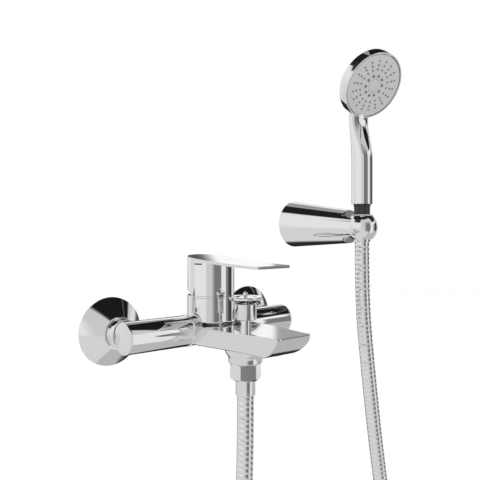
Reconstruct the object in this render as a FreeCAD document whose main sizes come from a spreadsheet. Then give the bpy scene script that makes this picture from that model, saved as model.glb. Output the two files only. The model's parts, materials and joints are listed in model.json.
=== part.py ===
import FreeCAD, Part
import math
import os
import Sketcher

# Wall bath mixer with a flat spout, a lever, a pull-up diverter, a metal hose, a wall bracket and
# a hand shower. Millimetres, +Z up. The wall is the plane Y = 0 and the mixer stands out towards -Y.
# The origin is midway between the two wall inlets.

Vector = FreeCAD.Vector
Rotation = FreeCAD.Rotation
Placement = FreeCAD.Placement

SIZES = {
    # Wall inlets and rosettes
    "inlet_spacing": 150.0,
    "axis_out": 39.2,
    "thread_radius": 10.4,
    "thread_length": 16.0,
    "inlet_bore": 6.5,
    "union_neck": 9.7,
    "union_flange": 10.9,
    "flange_place": 18.0,
    "flange_depth": 2.5,
    "washer_depth": 2.0,
    "union_nut_radius": 12.2,
    "rosette_radius": 28.2,
    "rosette_nose": 13.4,
    "rosette_depth": 15.0,
    "rosette_wall": 1.3,
    # Clearances
    "fit_gap": 0.1,
    "running_gap": 0.05,
    "body_gap": 0.3,
    # Side tubes and their caps
    "tube_radius": 12.8,
    "tube_bore": 10.3,
    "branch_radius": 9.0,
    "seam_place": 26.2,
    "seam_width": 0.8,
    "seam_rise": 0.25,
    "tube_overhang": 10.7,
    "cap_depth": 1.6,
    "cap_plug": 5.0,
    # Column and cartridge
    "column_radius": 20.0,
    "column_top": 28.4,
    "pocket_radius": 17.7,
    "pocket_floor": 9.0,
    "ring_height": 1.6,
    "seal_depth": 1.2,
    "cartridge_top": 25.2,
    "cartridge_nut_top": 34.0,
    "carrier_radius": 7.7,
    "tilt_height": 31.0,
    "stem_width": 6.0,
    "stem_depth": 5.0,
    "stem_top": 47.5,
    "stem_pin_radius": 1.5,
    # Spout
    "spout_top": 5.2,
    "spout_depth": 16.4,
    "spout_width": 37.0,
    "spout_reach": 100.2,
    "spout_corner": 4.0,
    "spout_edge": 0.8,
    "taper_start": 45.0,
    "taper_length": 50.0,
    "keel_width": 35.0,
    "keel_length": 60.0,
    "nose_start": 83.5,
    "nose_radius": 26.0,
    "outlet_place": 73.5,
    "outlet_radius": 9.6,
    "outlet_depth": 7.0,
    # Lever
    "lever_reach": 78.4,
    "lever_width": 35.3,
    "lever_thickness": 2.2,
    "lever_height": 61.0,
    "lever_drop": 4.7,
    "lever_corner": 2.0,
    "skirt_wall": 2.6,
    "skirt_roof": 4.5,
    "heel_rise": 9.8,
    "hub_radius": 8.0,
    "hub_bottom": 39.0,
    "screw_height": 44.0,
    "screw_radius": 2.0,
    # Diverter
    "diverter_out": 45.0,
    "diverter_stem": 4.6,
    "diverter_travel": 8.0,
    "knob_radius": 12.3,
    "knob_neck": 9.0,
    "knob_bottom": 11.9,
    "knob_rim": 27.3,
    "knob_top": 31.3,
    "nub_top": 34.0,
    "bush_radius": 7.2,
    "bush_depth": 7.0,
    "chamber_radius": 6.5,
    "rod_radius": 2.2,
    "valve_place": 18.4,
    "valve_depth": 2.5,
    "spring_radius": 4.3,
    "spring_wire": 0.9,
    "spring_turns": 4.0,
    # Hose outlet
    "boss_root": 17.0,
    "boss_radius": 13.6,
    "boss_bottom": 22.4,
    "nipple_radius": 10.2,
    "nipple_bottom": 28.9,
    "hose_nut_flats": 22.0,
    "hose_nut_bottom": 36.3,
    "hose_washer_depth": 1.8,
    "ferrule_radius": 7.85,
    "ferrule_bottom": 48.7,
    # Hose
    "hose_radius": 7.0,
    "hose_groove": 6.45,
    "hose_bore": 4.0,
    "rib_pitch": 4.4,
    # Wall bracket and ball holder
    "bracket_across": 143.4,
    "bracket_height": 89.5,
    "bracket_radius": 23.7,
    "bracket_nose": 14.6,
    "bracket_wall": 2.2,
    "bracket_hollow": 64.0,
    "bracket_reach": 86.5,
    "plate_depth": 4.0,
    "plate_radius": 20.5,
    "plate_holes": 24.0,
    "plate_hole_radius": 2.3,
    "ball_out": 88.3,
    "ball_height": 86.2,
    "ball_radius": 14.6,
    "ball_hole_top": 9.7,
    "ball_hole_bottom": 8.9,
    "liner_wall": 0.8,
    "bolt_radius": 2.0,
    "bolt_slot": 18.4,
    # Hand shower
    "handset_turn": -9.0,
    "handle_radius": 9.85,
    "handle_bottom": 21.8,
    "neck_start": 63.8,
    "neck_rise": 40.0,
    "neck_entry": 18.0,
    "neck_setback": 4.7,
    "head_inset": 7.0,
    "neck_radius": 7.5,
    "neck_bottom": 11.3,
    "hose_cone_bottom": -14.2,
    "hose_cone_top_radius": 8.5,
    "hose_cone_end_radius": 7.7,
    "water_bore": 5.5,
    "strip_place": 8.65,
    "strip_gap": 0.25,
    "head_tilt": 30.8,
    "head_out": 15.8,
    "head_height": 130.8,
    "head_radius": 32.0,
    "head_depth": 8.6,
    "head_dome": 6.0,
    "face_radius": 29.6,
    "face_depth": 3.0,
    "outer_nozzle": 0.85,
    "inner_nozzle": 1.35,
    "nozzle_rise": 0.7,
    "centre_radius": 6.2,
}

NOZZLE_ROWS = 18
NOZZLE_RINGS = (0.79, 0.667, 0.524)
INNER_NOZZLES = 10
INNER_RING = 0.32

# The hose's route from the mixer to the hand shower: place across, and height.
# It hangs in one upright plane through its two ends.
ROUTE = (
    (0.0, -48.7),
    (0.0, -118.0),
    (-7.0, -198.0),
    (-22.0, -285.0),
    (-34.0, -372.0),
    (-16.0, -452.0),
    (40.0, -505.0),
    (114.0, -509.0),
    (174.0, -466.0),
    (197.0, -388.0),
    (193.0, -300.0),
    (181.0, -212.0),
    (164.0, -126.0),
    (151.0, -42.0),
    (143.4, 18.0),
    (143.4, 72.0),
)

DOC = FreeCAD.newDocument("bath_mixer")
SHEET = DOC.addObject("Spreadsheet::Sheet", "Sizes")
NODES = []

OUT = Rotation(Vector(1, 0, 0), 90)
ALONG_X = Rotation(Vector(0, 1, 0), 90)
DOWN = Rotation(Vector(1, 0, 0), 180)
UPRIGHT = Rotation()


class Size:
    """A number together with the sheet expression that gives it."""

    def __init__(self, number, text):
        self.number = number
        self.text = text

    def __float__(self):
        return float(self.number)

    def __add__(self, other):
        other = as_size(other)
        return Size(self.number + other.number, f"({self.text} + {other.text})")

    def __sub__(self, other):
        other = as_size(other)
        return Size(self.number - other.number, f"({self.text} - {other.text})")

    def __mul__(self, other):
        other = as_size(other)
        return Size(self.number * other.number, f"({self.text} * {other.text})")

    def __truediv__(self, other):
        other = as_size(other)
        return Size(self.number / other.number, f"({self.text} / {other.text})")

    def __neg__(self):
        return Size(-self.number, f"(0 - {self.text})")

    __radd__ = __add__

    def __rsub__(self, other):
        return as_size(other) - self

    __rmul__ = __mul__


def as_size(value):
    if isinstance(value, Size):
        return value
    return Size(float(value), f"({float(value):.6f})")


class Sheet:
    """Each driving dimension by its name."""


def write_sheet():
    """Put the driving dimensions in the spreadsheet, one row each, and name their cells."""
    named = Sheet()
    for row, (name, number) in enumerate(SIZES.items(), start=1):
        SHEET.set(f"A{row}", name)
        SHEET.set(f"B{row}", str(number))
        SHEET.setAlias(f"B{row}", name)
        setattr(named, name, Size(number, f"Sizes.{name}"))
    DOC.recompute()
    return named


def arc_edge(start, end, radius):
    """The short arc from start to end, anticlockwise for a positive radius."""
    chord = end - start
    across = Vector(-chord.y, chord.x, 0).normalize()
    rise = math.sqrt(max(radius * radius - chord.Length ** 2 / 4, 0.0))
    centre = (start + end) * 0.5 + across * math.copysign(rise, radius)
    first, last = (start, end) if radius > 0 else (end, start)
    begin = math.atan2(first.y - centre.y, first.x - centre.x)
    finish = math.atan2(last.y - centre.y, last.x - centre.x)
    circle = Part.Circle(centre, Vector(0, 0, 1), abs(radius))
    return Part.ArcOfCircle(circle, begin, finish)


def draw_outline(sketch, points):
    """A closed outline. A point's third value is the radius of the arc that arrives at it."""
    places = [Vector(float(point[0]), float(point[1]), 0) for point in points]
    ends = []
    radii = []
    for index, start in enumerate(places):
        following = (index + 1) % len(points)
        arrives = points[following]
        if len(arrives) == 3:
            radius = as_size(arrives[2])
            edge = sketch.addGeometry(arc_edge(start, places[following], float(radius)), False)
            ends.append((1, 2) if float(radius) > 0 else (2, 1))
            radii.append((edge, radius if float(radius) > 0 else -radius))
        else:
            sketch.addGeometry(Part.LineSegment(start, places[following]), False)
            ends.append((1, 2))
    for index in range(len(points)):
        following = (index + 1) % len(points)
        joint = Sketcher.Constraint("Coincident", index, ends[index][1], following, ends[following][0])
        sketch.addConstraint(joint)
    for index, point in enumerate(points):
        for kind, length in (("DistanceX", point[0]), ("DistanceY", point[1])):
            length = as_size(length)
            rule = Sketcher.Constraint(kind, -1, 1, index, ends[index][0], float(length))
            sketch.setExpression(f"Constraints[{sketch.addConstraint(rule)}]", length.text)
    for edge, radius in radii:
        rule = Sketcher.Constraint("Radius", edge, float(radius))
        sketch.setExpression(f"Constraints[{sketch.addConstraint(rule)}]", radius.text)


def put(piece, across=0.0, along=0.0, up=0.0, turn=UPRIGHT):
    """Place a piece, with each coordinate bound to the sheet."""
    places = [as_size(value) for value in (across, along, up)]
    piece.Placement = Placement(Vector(*[float(place) for place in places]), turn)
    for axis, place in zip("xyz", places):
        piece.setExpression(f".Placement.Base.{axis}", place.text)
    return piece


def sketch_on(body, role, points):
    sketch = body.newObject("Sketcher::SketchObject", f"{body.Name}_outline")
    plane = [feature for feature in body.Origin.OriginFeatures if feature.Role == role][0]
    sketch.AttachmentSupport = [(plane, "")]
    sketch.MapMode = "FlatFace"
    draw_outline(sketch, points)
    return sketch


def turned(label, points):
    """A piece turned about its own Z axis, from its radii and heights."""
    body = DOC.addObject("PartDesign::Body", label)
    sketch = sketch_on(body, "XZ_Plane", points)
    turn = body.newObject("PartDesign::Revolution", f"{label}_turn")
    turn.Profile = sketch
    turn.ReferenceAxis = (sketch, ["V_Axis"])
    turn.Angle = 360
    return body


def padded(label, points, length, role="XY_Plane", both_ways=False):
    """An outline given a thickness."""
    body = DOC.addObject("PartDesign::Body", label)
    sketch = sketch_on(body, role, points)
    pad = body.newObject("PartDesign::Pad", f"{label}_pad")
    pad.Profile = sketch
    pad.SideType = "Symmetric" if both_ways else "One side"
    pad.setExpression("Length", as_size(length).text)
    return body


def cylinder(label, radius, length, across=0.0, along=0.0, up=0.0, turn=UPRIGHT):
    piece = DOC.addObject("Part::Cylinder", label)
    piece.setExpression("Radius", as_size(radius).text)
    piece.setExpression("Height", as_size(length).text)
    return put(piece, across, along, up, turn)


def box(label, size, corner):
    piece = DOC.addObject("Part::Box", label)
    for name, length in zip(("Length", "Width", "Height"), size):
        piece.setExpression(name, as_size(length).text)
    return put(piece, *corner)


def cut(label, base, *tools):
    piece = DOC.addObject("Part::Cut", label)
    piece.Base = base
    piece.Tool = tools[0] if len(tools) == 1 else fuse(f"{label}_tools", *tools)
    return piece


def fuse(label, *pieces):
    piece = DOC.addObject("Part::MultiFuse", label)
    piece.Shapes = list(pieces)
    return piece


def common(label, *pieces):
    piece = DOC.addObject("Part::MultiCommon", label)
    piece.Shapes = list(pieces)
    return piece


def group(label, *pieces):
    piece = DOC.addObject("Part::Compound", label)
    piece.Links = list(pieces)
    return piece


def node(piece):
    """Mark a finished piece as a node of the part."""
    NODES.append(piece)
    return piece


def ring_points(outer, inner, bottom, top, edge=0.0):
    """Outline of a plain ring, with its outer edges broken."""
    if float(edge) == 0.0:
        return [(inner, bottom), (outer, bottom), (outer, top), (inner, top)]
    return [
        (inner, bottom),
        (outer - edge, bottom),
        (outer, bottom + edge),
        (outer, top - edge),
        (outer - edge, top),
        (inner, top),
    ]


def make_inlets(s):
    """Wall unions, washers, strainers, union nuts and rosettes, left and right."""
    washers = []
    strainers = []
    flange_top = s.flange_place + s.flange_depth
    washer_top = flange_top + s.washer_depth
    for side, sign in (("left", -1), ("right", 1)):
        across = s.inlet_spacing * (sign / 2)
        union = turned(f"wall_union_{side}", [
            (s.inlet_bore, -s.thread_length),
            (s.thread_radius - 1, -s.thread_length),
            (s.thread_radius, 1 - s.thread_length),
            (s.thread_radius, 0),
            (s.union_neck, 0),
            (s.union_neck, s.flange_place),
            (s.union_flange, s.flange_place),
            (s.union_flange, flange_top),
            (s.inlet_bore, flange_top),
        ])
        node(put(union, across, 0, 0, OUT))
        nut_front = washer_top + 3.6
        nut = turned(f"union_nut_{side}", [
            (s.union_neck + s.fit_gap, s.rosette_depth + 0.3),
            (s.union_nut_radius - 1, s.rosette_depth + 0.3),
            (s.union_nut_radius, s.rosette_depth + 1.3),
            (s.union_nut_radius, nut_front - 1),
            (s.union_nut_radius - 1, nut_front),
            (s.union_flange + s.fit_gap, nut_front),
            (s.union_flange + s.fit_gap, s.flange_place - s.fit_gap),
            (s.union_neck + s.fit_gap, s.flange_place - s.fit_gap),
        ])
        node(put(nut, across, 0, 0, OUT))
        rosette = turned(f"rosette_{side}", [
            (s.rosette_radius - s.rosette_wall, 0),
            (s.rosette_radius, 0),
            (s.rosette_radius, 0.8),
            (s.rosette_radius - 0.4, 1.2),
            (s.rosette_nose, s.rosette_depth - 0.5),
            (s.rosette_nose - 0.5, s.rosette_depth),
            (s.union_neck + s.fit_gap, s.rosette_depth),
            (s.union_neck + s.fit_gap, s.rosette_depth - s.rosette_wall),
            (s.rosette_nose - s.rosette_wall, s.rosette_depth - s.rosette_wall),
            (s.rosette_radius - s.rosette_wall, 1.2),
        ])
        node(put(rosette, across, 0, 0, OUT))
        washer = turned(f"washer_{side}", ring_points(s.union_flange - 0.2, s.inlet_bore, flange_top, washer_top))
        washers.append(put(washer, across, 0, 0, OUT))
        strainer = turned(f"strainer_{side}", [
            (0, 8),
            (3, 8),
            (s.inlet_bore - s.fit_gap, 12),
            (s.inlet_bore - s.fit_gap, flange_top),
            (s.inlet_bore - 0.6, flange_top),
            (s.inlet_bore - 0.6, 12.3),
            (2.7, 8.6),
            (0, 8.6),
        ])
        strainers.append(put(strainer, across, 0, 0, OUT))
    node(group("inlet_washers", *washers))
    node(group("inlet_strainers", *strainers))


def make_tubes(s):
    """The two side tubes with their wall branches, the end caps and the seam rings."""
    washer_top = s.flange_place + s.flange_depth + s.washer_depth
    rings = []
    for side, sign in (("left", -1), ("right", 1)):
        turn = Rotation(Vector(0, 1, 0), 90 * sign)
        start = s.seam_place * sign
        across = s.inlet_spacing * (sign / 2)
        length = s.inlet_spacing / 2 + s.tube_overhang - s.cap_depth - s.seam_place
        shell = cylinder(f"tube_{side}_shell", s.tube_radius, length, start, -s.axis_out, 0, turn)
        branch_length = s.axis_out - washer_top
        branch = cylinder(f"tube_{side}_branch", s.branch_radius, branch_length, across, -s.axis_out, 0,
                          Rotation(Vector(1, 0, 0), -90))
        collar_length = s.axis_out - s.tube_radius - 0.2 - washer_top
        collar = cylinder(f"tube_{side}_collar", s.union_flange, collar_length, across, -washer_top, 0, OUT)
        bore = cylinder(f"tube_{side}_bore", s.tube_bore, length, start, -s.axis_out, 0, turn)
        port = cylinder(f"tube_{side}_port", s.inlet_bore, branch_length, across, -s.axis_out, 0,
                        Rotation(Vector(1, 0, 0), -90))
        solid = fuse(f"tube_{side}_solid", shell, branch, collar)
        node(cut(f"tube_{side}", solid, bore, port))
        cap = turned(f"end_cap_{side}", [
            (0, length - s.cap_plug),
            (s.tube_bore - s.fit_gap, length - s.cap_plug),
            (s.tube_bore - s.fit_gap, length),
            (s.tube_radius, length),
            (s.tube_radius, length + s.cap_depth - 0.6),
            (s.tube_radius - 0.6, length + s.cap_depth),
            (0, length + s.cap_depth),
        ])
        node(put(cap, start, -s.axis_out, 0, turn))
        ring = turned(f"seam_ring_{side}", ring_points(
            s.tube_radius + s.seam_rise, s.tube_bore, 0, s.seam_width, 0.2))
        rings.append(put(ring, (s.seam_place - s.seam_width) * sign, -s.axis_out, 0, turn))
    node(group("seam_rings", *rings))


def spout_section(s, out):
    """The spout's half widths at top and bottom and its underside, at a distance from the tube's axis."""
    root = float(s.seam_place - s.seam_width)
    half = float(s.spout_width) / 2
    keel = float(s.keel_width) / 2
    reach = float(s.spout_reach)
    corner = float(s.spout_corner)
    low = float(s.spout_top - s.spout_depth)
    lip = float(s.spout_top - s.spout_edge)
    top = root - (root - half) * ease((out - float(s.taper_start)) / float(s.taper_length))
    bottom = root - (root - keel) * ease(out / float(s.keel_length))
    under = low
    start = float(s.nose_start)
    if out > start:
        radius = float(s.nose_radius)
        chord = math.hypot(reach - start, lip - low)
        rise = math.sqrt(radius * radius - chord * chord / 4)
        centre_out = (reach + start) / 2 - (lip - low) / chord * rise
        centre_up = (lip + low) / 2 + (reach - start) / chord * rise
        under = centre_up - math.sqrt(radius * radius - (out - centre_out) ** 2)
        under = min(under, lip - 0.1)
        bottom += (top - bottom) * (under - low) / (lip - low)
    into_corner = max(out - (reach - corner), 0)
    trimmed = corner - math.sqrt(corner * corner - into_corner * into_corner)
    return top - trimmed, bottom - trimmed, under


def spout_stretch(label, s, stations, below):
    """A loft along the spout, standing out over its top and by the given room below its underside."""
    over = float(s.spout_top) + 2
    lip = float(s.spout_top - s.spout_edge)
    wires = []
    for out in stations:
        top, bottom, under = spout_section(s, out)
        corners = [(-top, over), (top, over), (top, lip), (bottom, under)]
        if below:
            corners += [(bottom, under - below), (-bottom, under - below)]
        corners += [(-bottom, under), (-top, lip)]
        points = [Vector(across, -out, up) for across, up in corners]
        wires.append(Part.makePolygon(points + points[:1]))
    stretch = DOC.addObject("Part::Feature", label)
    stretch.Shape = Part.makeLoft(wires, True, True)
    return put(stretch, 0, -s.axis_out, 0)


def spout_solid(s):
    """The flat spout, lofted from the tube to its nose: a flat top over sides that lean in to the keel."""
    front = float(s.spout_reach - s.spout_corner)
    corner = float(s.spout_corner)
    start = float(s.nose_start)
    steps = 9
    along = [start * index / steps for index in range(steps + 1)]
    round_nose = [start + (front - start) * index / 4 for index in range(5)]
    round_nose += [front + corner * math.sin(math.radians(angle)) for angle in (20, 40, 60, 75, 90)]
    trunk = spout_stretch("spout_trunk", s, along, 2.0)
    nose = spout_stretch("spout_nose", s, round_nose, 0)
    room = box("spout_room", (s.seam_place * 3, s.spout_reach + 2, s.spout_depth),
               (s.seam_place * -1.5, -s.axis_out - s.spout_reach - 1, s.spout_top - s.spout_depth))
    return common("spout_solid", fuse("spout_lofts", trunk, nose), room)


def make_mixer_body(s):
    """The casting: centre of the horizontal tube, column, spout and hose boss, with its waterways."""
    root = s.seam_place - s.seam_width
    centre = cylinder("casting_centre", s.tube_radius, root * 2, -root, -s.axis_out, 0, ALONG_X)
    column_height = s.column_top - s.ring_height - s.spout_top
    column = cylinder("casting_column", s.column_radius, column_height, 0, -s.axis_out, s.spout_top)
    boss = turned("casting_boss", [
        (0, s.spout_top - 4),
        (s.boss_root - 2, s.spout_top - 4),
        (s.boss_root, s.spout_top - s.spout_depth + 0.5),
        (s.boss_radius + 0.2, 4.9 - s.boss_bottom, -12),
        (s.boss_radius, 0.6 - s.boss_bottom),
        (s.boss_radius - 0.6, -s.boss_bottom),
        (0, -s.boss_bottom),
    ])
    diverter_y = -(s.axis_out + s.diverter_out)
    put(boss, 0, diverter_y, 0)
    solid = fuse("casting_solid", centre, column, spout_solid(s), boss)
    pocket = cylinder("cartridge_pocket", s.pocket_radius, 30, 0, -s.axis_out, s.pocket_floor)
    waterways = []
    for side, sign in (("left", -1), ("right", 1)):
        turn = Rotation(Vector(0, 1, 0), -90 * sign)
        waterways.append(cylinder(f"inlet_way_{side}", 7.5, 17, root * sign, -s.axis_out, 0, turn))
        waterways.append(cylinder(f"inlet_port_{side}", 2.6, s.pocket_floor + 1, 12 * sign, -s.axis_out, 0))
    outlet_port = cylinder("outlet_port", 3.2, s.pocket_floor + 6, 0, -s.axis_out - 11, -5)
    channel = cylinder("spout_channel", 4.5, s.outlet_place - 8, 0, -s.axis_out - 8, -4, OUT)
    bush_seat = cylinder("bush_seat", s.bush_radius + s.fit_gap, s.bush_depth, 0, diverter_y,
                         s.spout_top - s.bush_depth)
    chamber = cylinder("diverter_chamber", s.chamber_radius, s.boss_bottom + s.spout_top - 1, 0, diverter_y,
                       -s.boss_bottom)
    nipple_seat = cylinder("nipple_seat", s.nipple_radius, 1.5, 0, diverter_y, -s.boss_bottom)
    outlet_y = -(s.axis_out + s.outlet_place)
    outlet = cylinder("spout_outlet", s.outlet_radius, s.outlet_depth, 0, outlet_y,
                      s.spout_top - s.spout_depth - 0.01)
    node(cut("mixer_body", solid, pocket, *waterways, outlet_port, channel, bush_seat, chamber,
             nipple_seat, outlet))
    ring = turned("column_ring", [
        (s.pocket_radius, s.column_top - s.ring_height),
        (s.column_radius, s.column_top - s.ring_height),
        (s.column_radius, s.column_top - 0.7),
        (s.column_radius - 0.7, s.column_top),
        (s.pocket_radius, s.column_top),
    ])
    node(put(ring, 0, -s.axis_out, 0))


def make_outlet_insert(s):
    """The spout's outlet: threaded ring, flow straightener and sealing washer."""
    outlet_y = -(s.axis_out + s.outlet_place)
    bottom = s.spout_top - s.spout_depth
    top = s.outlet_depth
    ring = turned("outlet_ring", ring_points(s.outlet_radius - s.fit_gap, s.outlet_radius - 1.4, -0.5,
                                             top - 2, 0.3))
    node(put(ring, 0, outlet_y, bottom))
    insert = turned("flow_straightener", [
        (0, 0.3),
        (s.outlet_radius - 1.6, 0.3),
        (s.outlet_radius - 1.6, top - 2),
        (0, top - 2),
    ])
    node(put(insert, 0, outlet_y, bottom))
    washer = turned("outlet_washer", ring_points(s.outlet_radius - 0.3, 4.6, top - 1.9, top - 0.2))
    node(put(washer, 0, outlet_y, bottom))


def make_cartridge(s):
    """The ceramic cartridge with its seals, hold-down nut, turning carrier, lever stem and pin."""
    seals = []
    for index, (across, along) in enumerate(((-12, 0), (12, 0), (0, -11))):
        seal = turned(f"port_seal_{index}", ring_points(4.4, 3.3, 0, s.seal_depth))
        seals.append(put(seal, across, -s.axis_out + along, s.pocket_floor))
    node(group("cartridge_seals", *seals))
    housing = turned("cartridge_housing", [
        (0, s.pocket_floor + s.seal_depth),
        (s.pocket_radius - 0.9, s.pocket_floor + s.seal_depth),
        (s.pocket_radius - 0.3, s.pocket_floor + s.seal_depth + 0.6),
        (s.pocket_radius - 0.3, s.cartridge_top),
        (0, s.cartridge_top),
    ])
    node(put(housing, 0, -s.axis_out, 0))
    bore = s.carrier_radius + s.running_gap
    nut = turned("cartridge_nut", [
        (bore, s.cartridge_top),
        (s.pocket_radius - 0.2, s.cartridge_top),
        (s.pocket_radius - 0.2, s.column_top - s.body_gap),
        (s.pocket_radius - 6, s.column_top - s.body_gap),
        (s.pocket_radius - 6, s.cartridge_nut_top - 0.5),
        (s.pocket_radius - 6.5, s.cartridge_nut_top),
        (bore + 0.5, s.cartridge_nut_top),
        (bore, s.cartridge_nut_top - 0.5),
    ])
    node(put(nut, 0, -s.axis_out, 0))
    carrier_top = s.tilt_height + 2.4
    carrier = cylinder("carrier_disc", s.carrier_radius, carrier_top - s.cartridge_top - s.fit_gap, 0,
                       -s.axis_out, s.cartridge_top + s.fit_gap)
    slot_floor = s.tilt_height - 3.9
    slot_width = s.stem_width + 0.3
    slot = box("carrier_slot", (slot_width, 20, 10), (-slot_width / 2, -s.axis_out - 10, slot_floor))
    hole = cylinder("carrier_pin_hole", s.stem_pin_radius, 20, -10, -s.axis_out, s.tilt_height, ALONG_X)
    node(cut("cartridge_carrier", carrier, slot, hole))
    pin_length = s.carrier_radius * 2 - 1
    pin = cylinder("stem_pin", s.stem_pin_radius, pin_length, -pin_length / 2, -s.axis_out, s.tilt_height,
                   ALONG_X)
    node(pin)
    half_depth = s.stem_depth / 2
    foot = s.tilt_height - half_depth
    stem = padded("stem_bar", [
        (-half_depth, s.stem_top),
        (-half_depth, s.tilt_height),
        (0, foot, half_depth),
        (half_depth, s.tilt_height, half_depth),
        (half_depth, s.stem_top),
    ], s.stem_width, role="YZ_Plane", both_ways=True)
    put(stem, 0, -s.axis_out, 0)
    stem_hole = cylinder("stem_hole", s.stem_pin_radius + s.running_gap, 20, -10, -s.axis_out, s.tilt_height,
                         ALONG_X)
    node(cut("cartridge_stem", stem, stem_hole))


def make_lever(s):
    """The lever: cap with its cut-back heel, sloping plate, stem hub, grub screw and plugs."""
    cap_radius = s.column_radius
    slope = s.lever_drop / s.lever_reach
    skirt_bottom = s.column_top + s.body_gap
    reach = cap_radius + 1
    under = s.lever_height - s.lever_thickness
    side = padded("lever_side", [
        (-reach, skirt_bottom),
        (0, skirt_bottom),
        (reach, skirt_bottom + s.heel_rise),
        (reach, under + slope * reach),
        (-reach, under - slope * reach),
    ], cap_radius * 2 + 2, role="YZ_Plane", both_ways=True)
    put(side, 0, -s.axis_out, 0)
    drum = cylinder("lever_drum", cap_radius, s.lever_height, 0, -s.axis_out, 0)
    cap = common("lever_cap", side, drum)
    half = s.lever_width / 2
    front = s.lever_reach
    plan = padded("lever_plan", [
        (-cap_radius, 0, cap_radius),
        (-half, s.lever_corner - front),
        (s.lever_corner - half, -front, s.lever_corner),
        (half - s.lever_corner, -front),
        (half, s.lever_corner - front, s.lever_corner),
        (cap_radius, 0),
        (0, cap_radius, cap_radius),
    ], 100)
    put(plan, 0, -s.axis_out, 0)
    blade = padded("lever_blade", [
        (-front - 1, under - slope * (front + 1)),
        (reach, under + slope * reach),
        (reach, s.lever_height + slope * reach),
        (-front - 1, s.lever_height - slope * (front + 1)),
    ], cap_radius * 2 + 2, role="YZ_Plane", both_ways=True)
    put(blade, 0, -s.axis_out, 0)
    plate = common("lever_plate", plan, blade)
    roof = s.lever_height - s.lever_drop / 4 - s.skirt_roof
    hollow_room = cylinder("lever_hollow", cap_radius - s.skirt_wall, roof, 0, -s.axis_out, 0)
    hub = cylinder("lever_hub", s.hub_radius, roof + 1 - s.hub_bottom, 0, -s.axis_out, s.hub_bottom)
    shell = cut("lever_shell", fuse("lever_outer", cap, plate), hollow_room)
    socket_width = s.stem_width + s.fit_gap * 2
    socket_depth = s.stem_depth + s.fit_gap * 2
    socket = box("lever_socket", (socket_width, socket_depth, s.stem_top + 0.2),
                 (-socket_width / 2, -s.axis_out - socket_depth / 2, 0))
    screw_way = cylinder("lever_screw_way", s.screw_radius + s.fit_gap, cap_radius + 2, 0, -s.axis_out,
                         s.screw_height, Rotation(Vector(1, 0, 0), -90))
    plug_radius = s.screw_radius + 0.9
    plug_depth = 1.6
    plug_seat = cylinder("lever_plug_seat", plug_radius, 6, 0, -s.axis_out + cap_radius - plug_depth,
                         s.screw_height, Rotation(Vector(1, 0, 0), -90))
    marker = box("marker_block", (1.2, 8, 1.3), (0, 0, 0))
    marker_height = s.lever_height - 6.3
    marker_seat = box("marker_seat", (1.2, 8, 1.3), (0, 0, 0))
    corner = Rotation(Vector(0, 0, 1), 20).multVec(Vector(0, -4, 0))
    for piece in (marker, marker_seat):
        put(piece, -cap_radius * 0.94 + corner.x, -s.axis_out - cap_radius * 0.342 + corner.y,
            marker_height, Rotation(Vector(0, 0, 1), 20))
    lever = cut("lever", fuse("lever_solid", shell, hub), socket, screw_way, plug_seat, marker_seat)
    node(lever)
    drum_copy = cylinder("marker_drum", cap_radius - 0.15, s.lever_height, 0, -s.axis_out, 0)
    node(common("lever_marker", marker, drum_copy))
    screw_start = s.stem_depth / 2 + s.fit_gap
    screw = cylinder("lever_screw", s.screw_radius, s.hub_radius - 3, 0, -s.axis_out + screw_start,
                     s.screw_height, Rotation(Vector(1, 0, 0), -90))
    node(screw)
    plug = cylinder("plug_disc", plug_radius - s.running_gap, plug_depth + 1, 0,
                    -s.axis_out + cap_radius - plug_depth, s.screw_height, Rotation(Vector(1, 0, 0), -90))
    plug_drum = cylinder("plug_drum", cap_radius, s.lever_height, 0, -s.axis_out, 0)
    node(common("lever_plug", plug, plug_drum))


def round_wire(centre, direction, steady, radius):
    """A circle square to a direction, with its X axis on the steady vector."""
    circle = Part.Circle(Vector(), Vector(0, 0, 1), radius).toShape()
    circle.Placement = Placement(centre, Rotation(steady, direction.cross(steady), direction, "ZXY"))
    return Part.Wire(circle)


def spring_shape(s, length):
    """A round-wire compression spring of a given overall length, lofted a turn at a time."""
    wire = float(s.spring_wire)
    coil = float(s.spring_radius)
    turns = round(float(s.spring_turns))
    pitch = (length - wire) / turns
    steps = 8
    coils = []
    for turn in range(turns):
        rings = []
        for step in range(steps + 1):
            angle = 2 * math.pi * step / steps
            outward = Vector(math.cos(angle), math.sin(angle), 0)
            around = Vector(-coil * math.sin(angle), coil * math.cos(angle), pitch / (2 * math.pi)).normalize()
            centre = outward * coil + Vector(0, 0, pitch * (turn + step / steps))
            rings.append(round_wire(centre, around, outward, wire / 2))
        coils.append(Part.makeLoft(rings, True, True))
    return coils[0].fuse(coils[1:])


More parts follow.
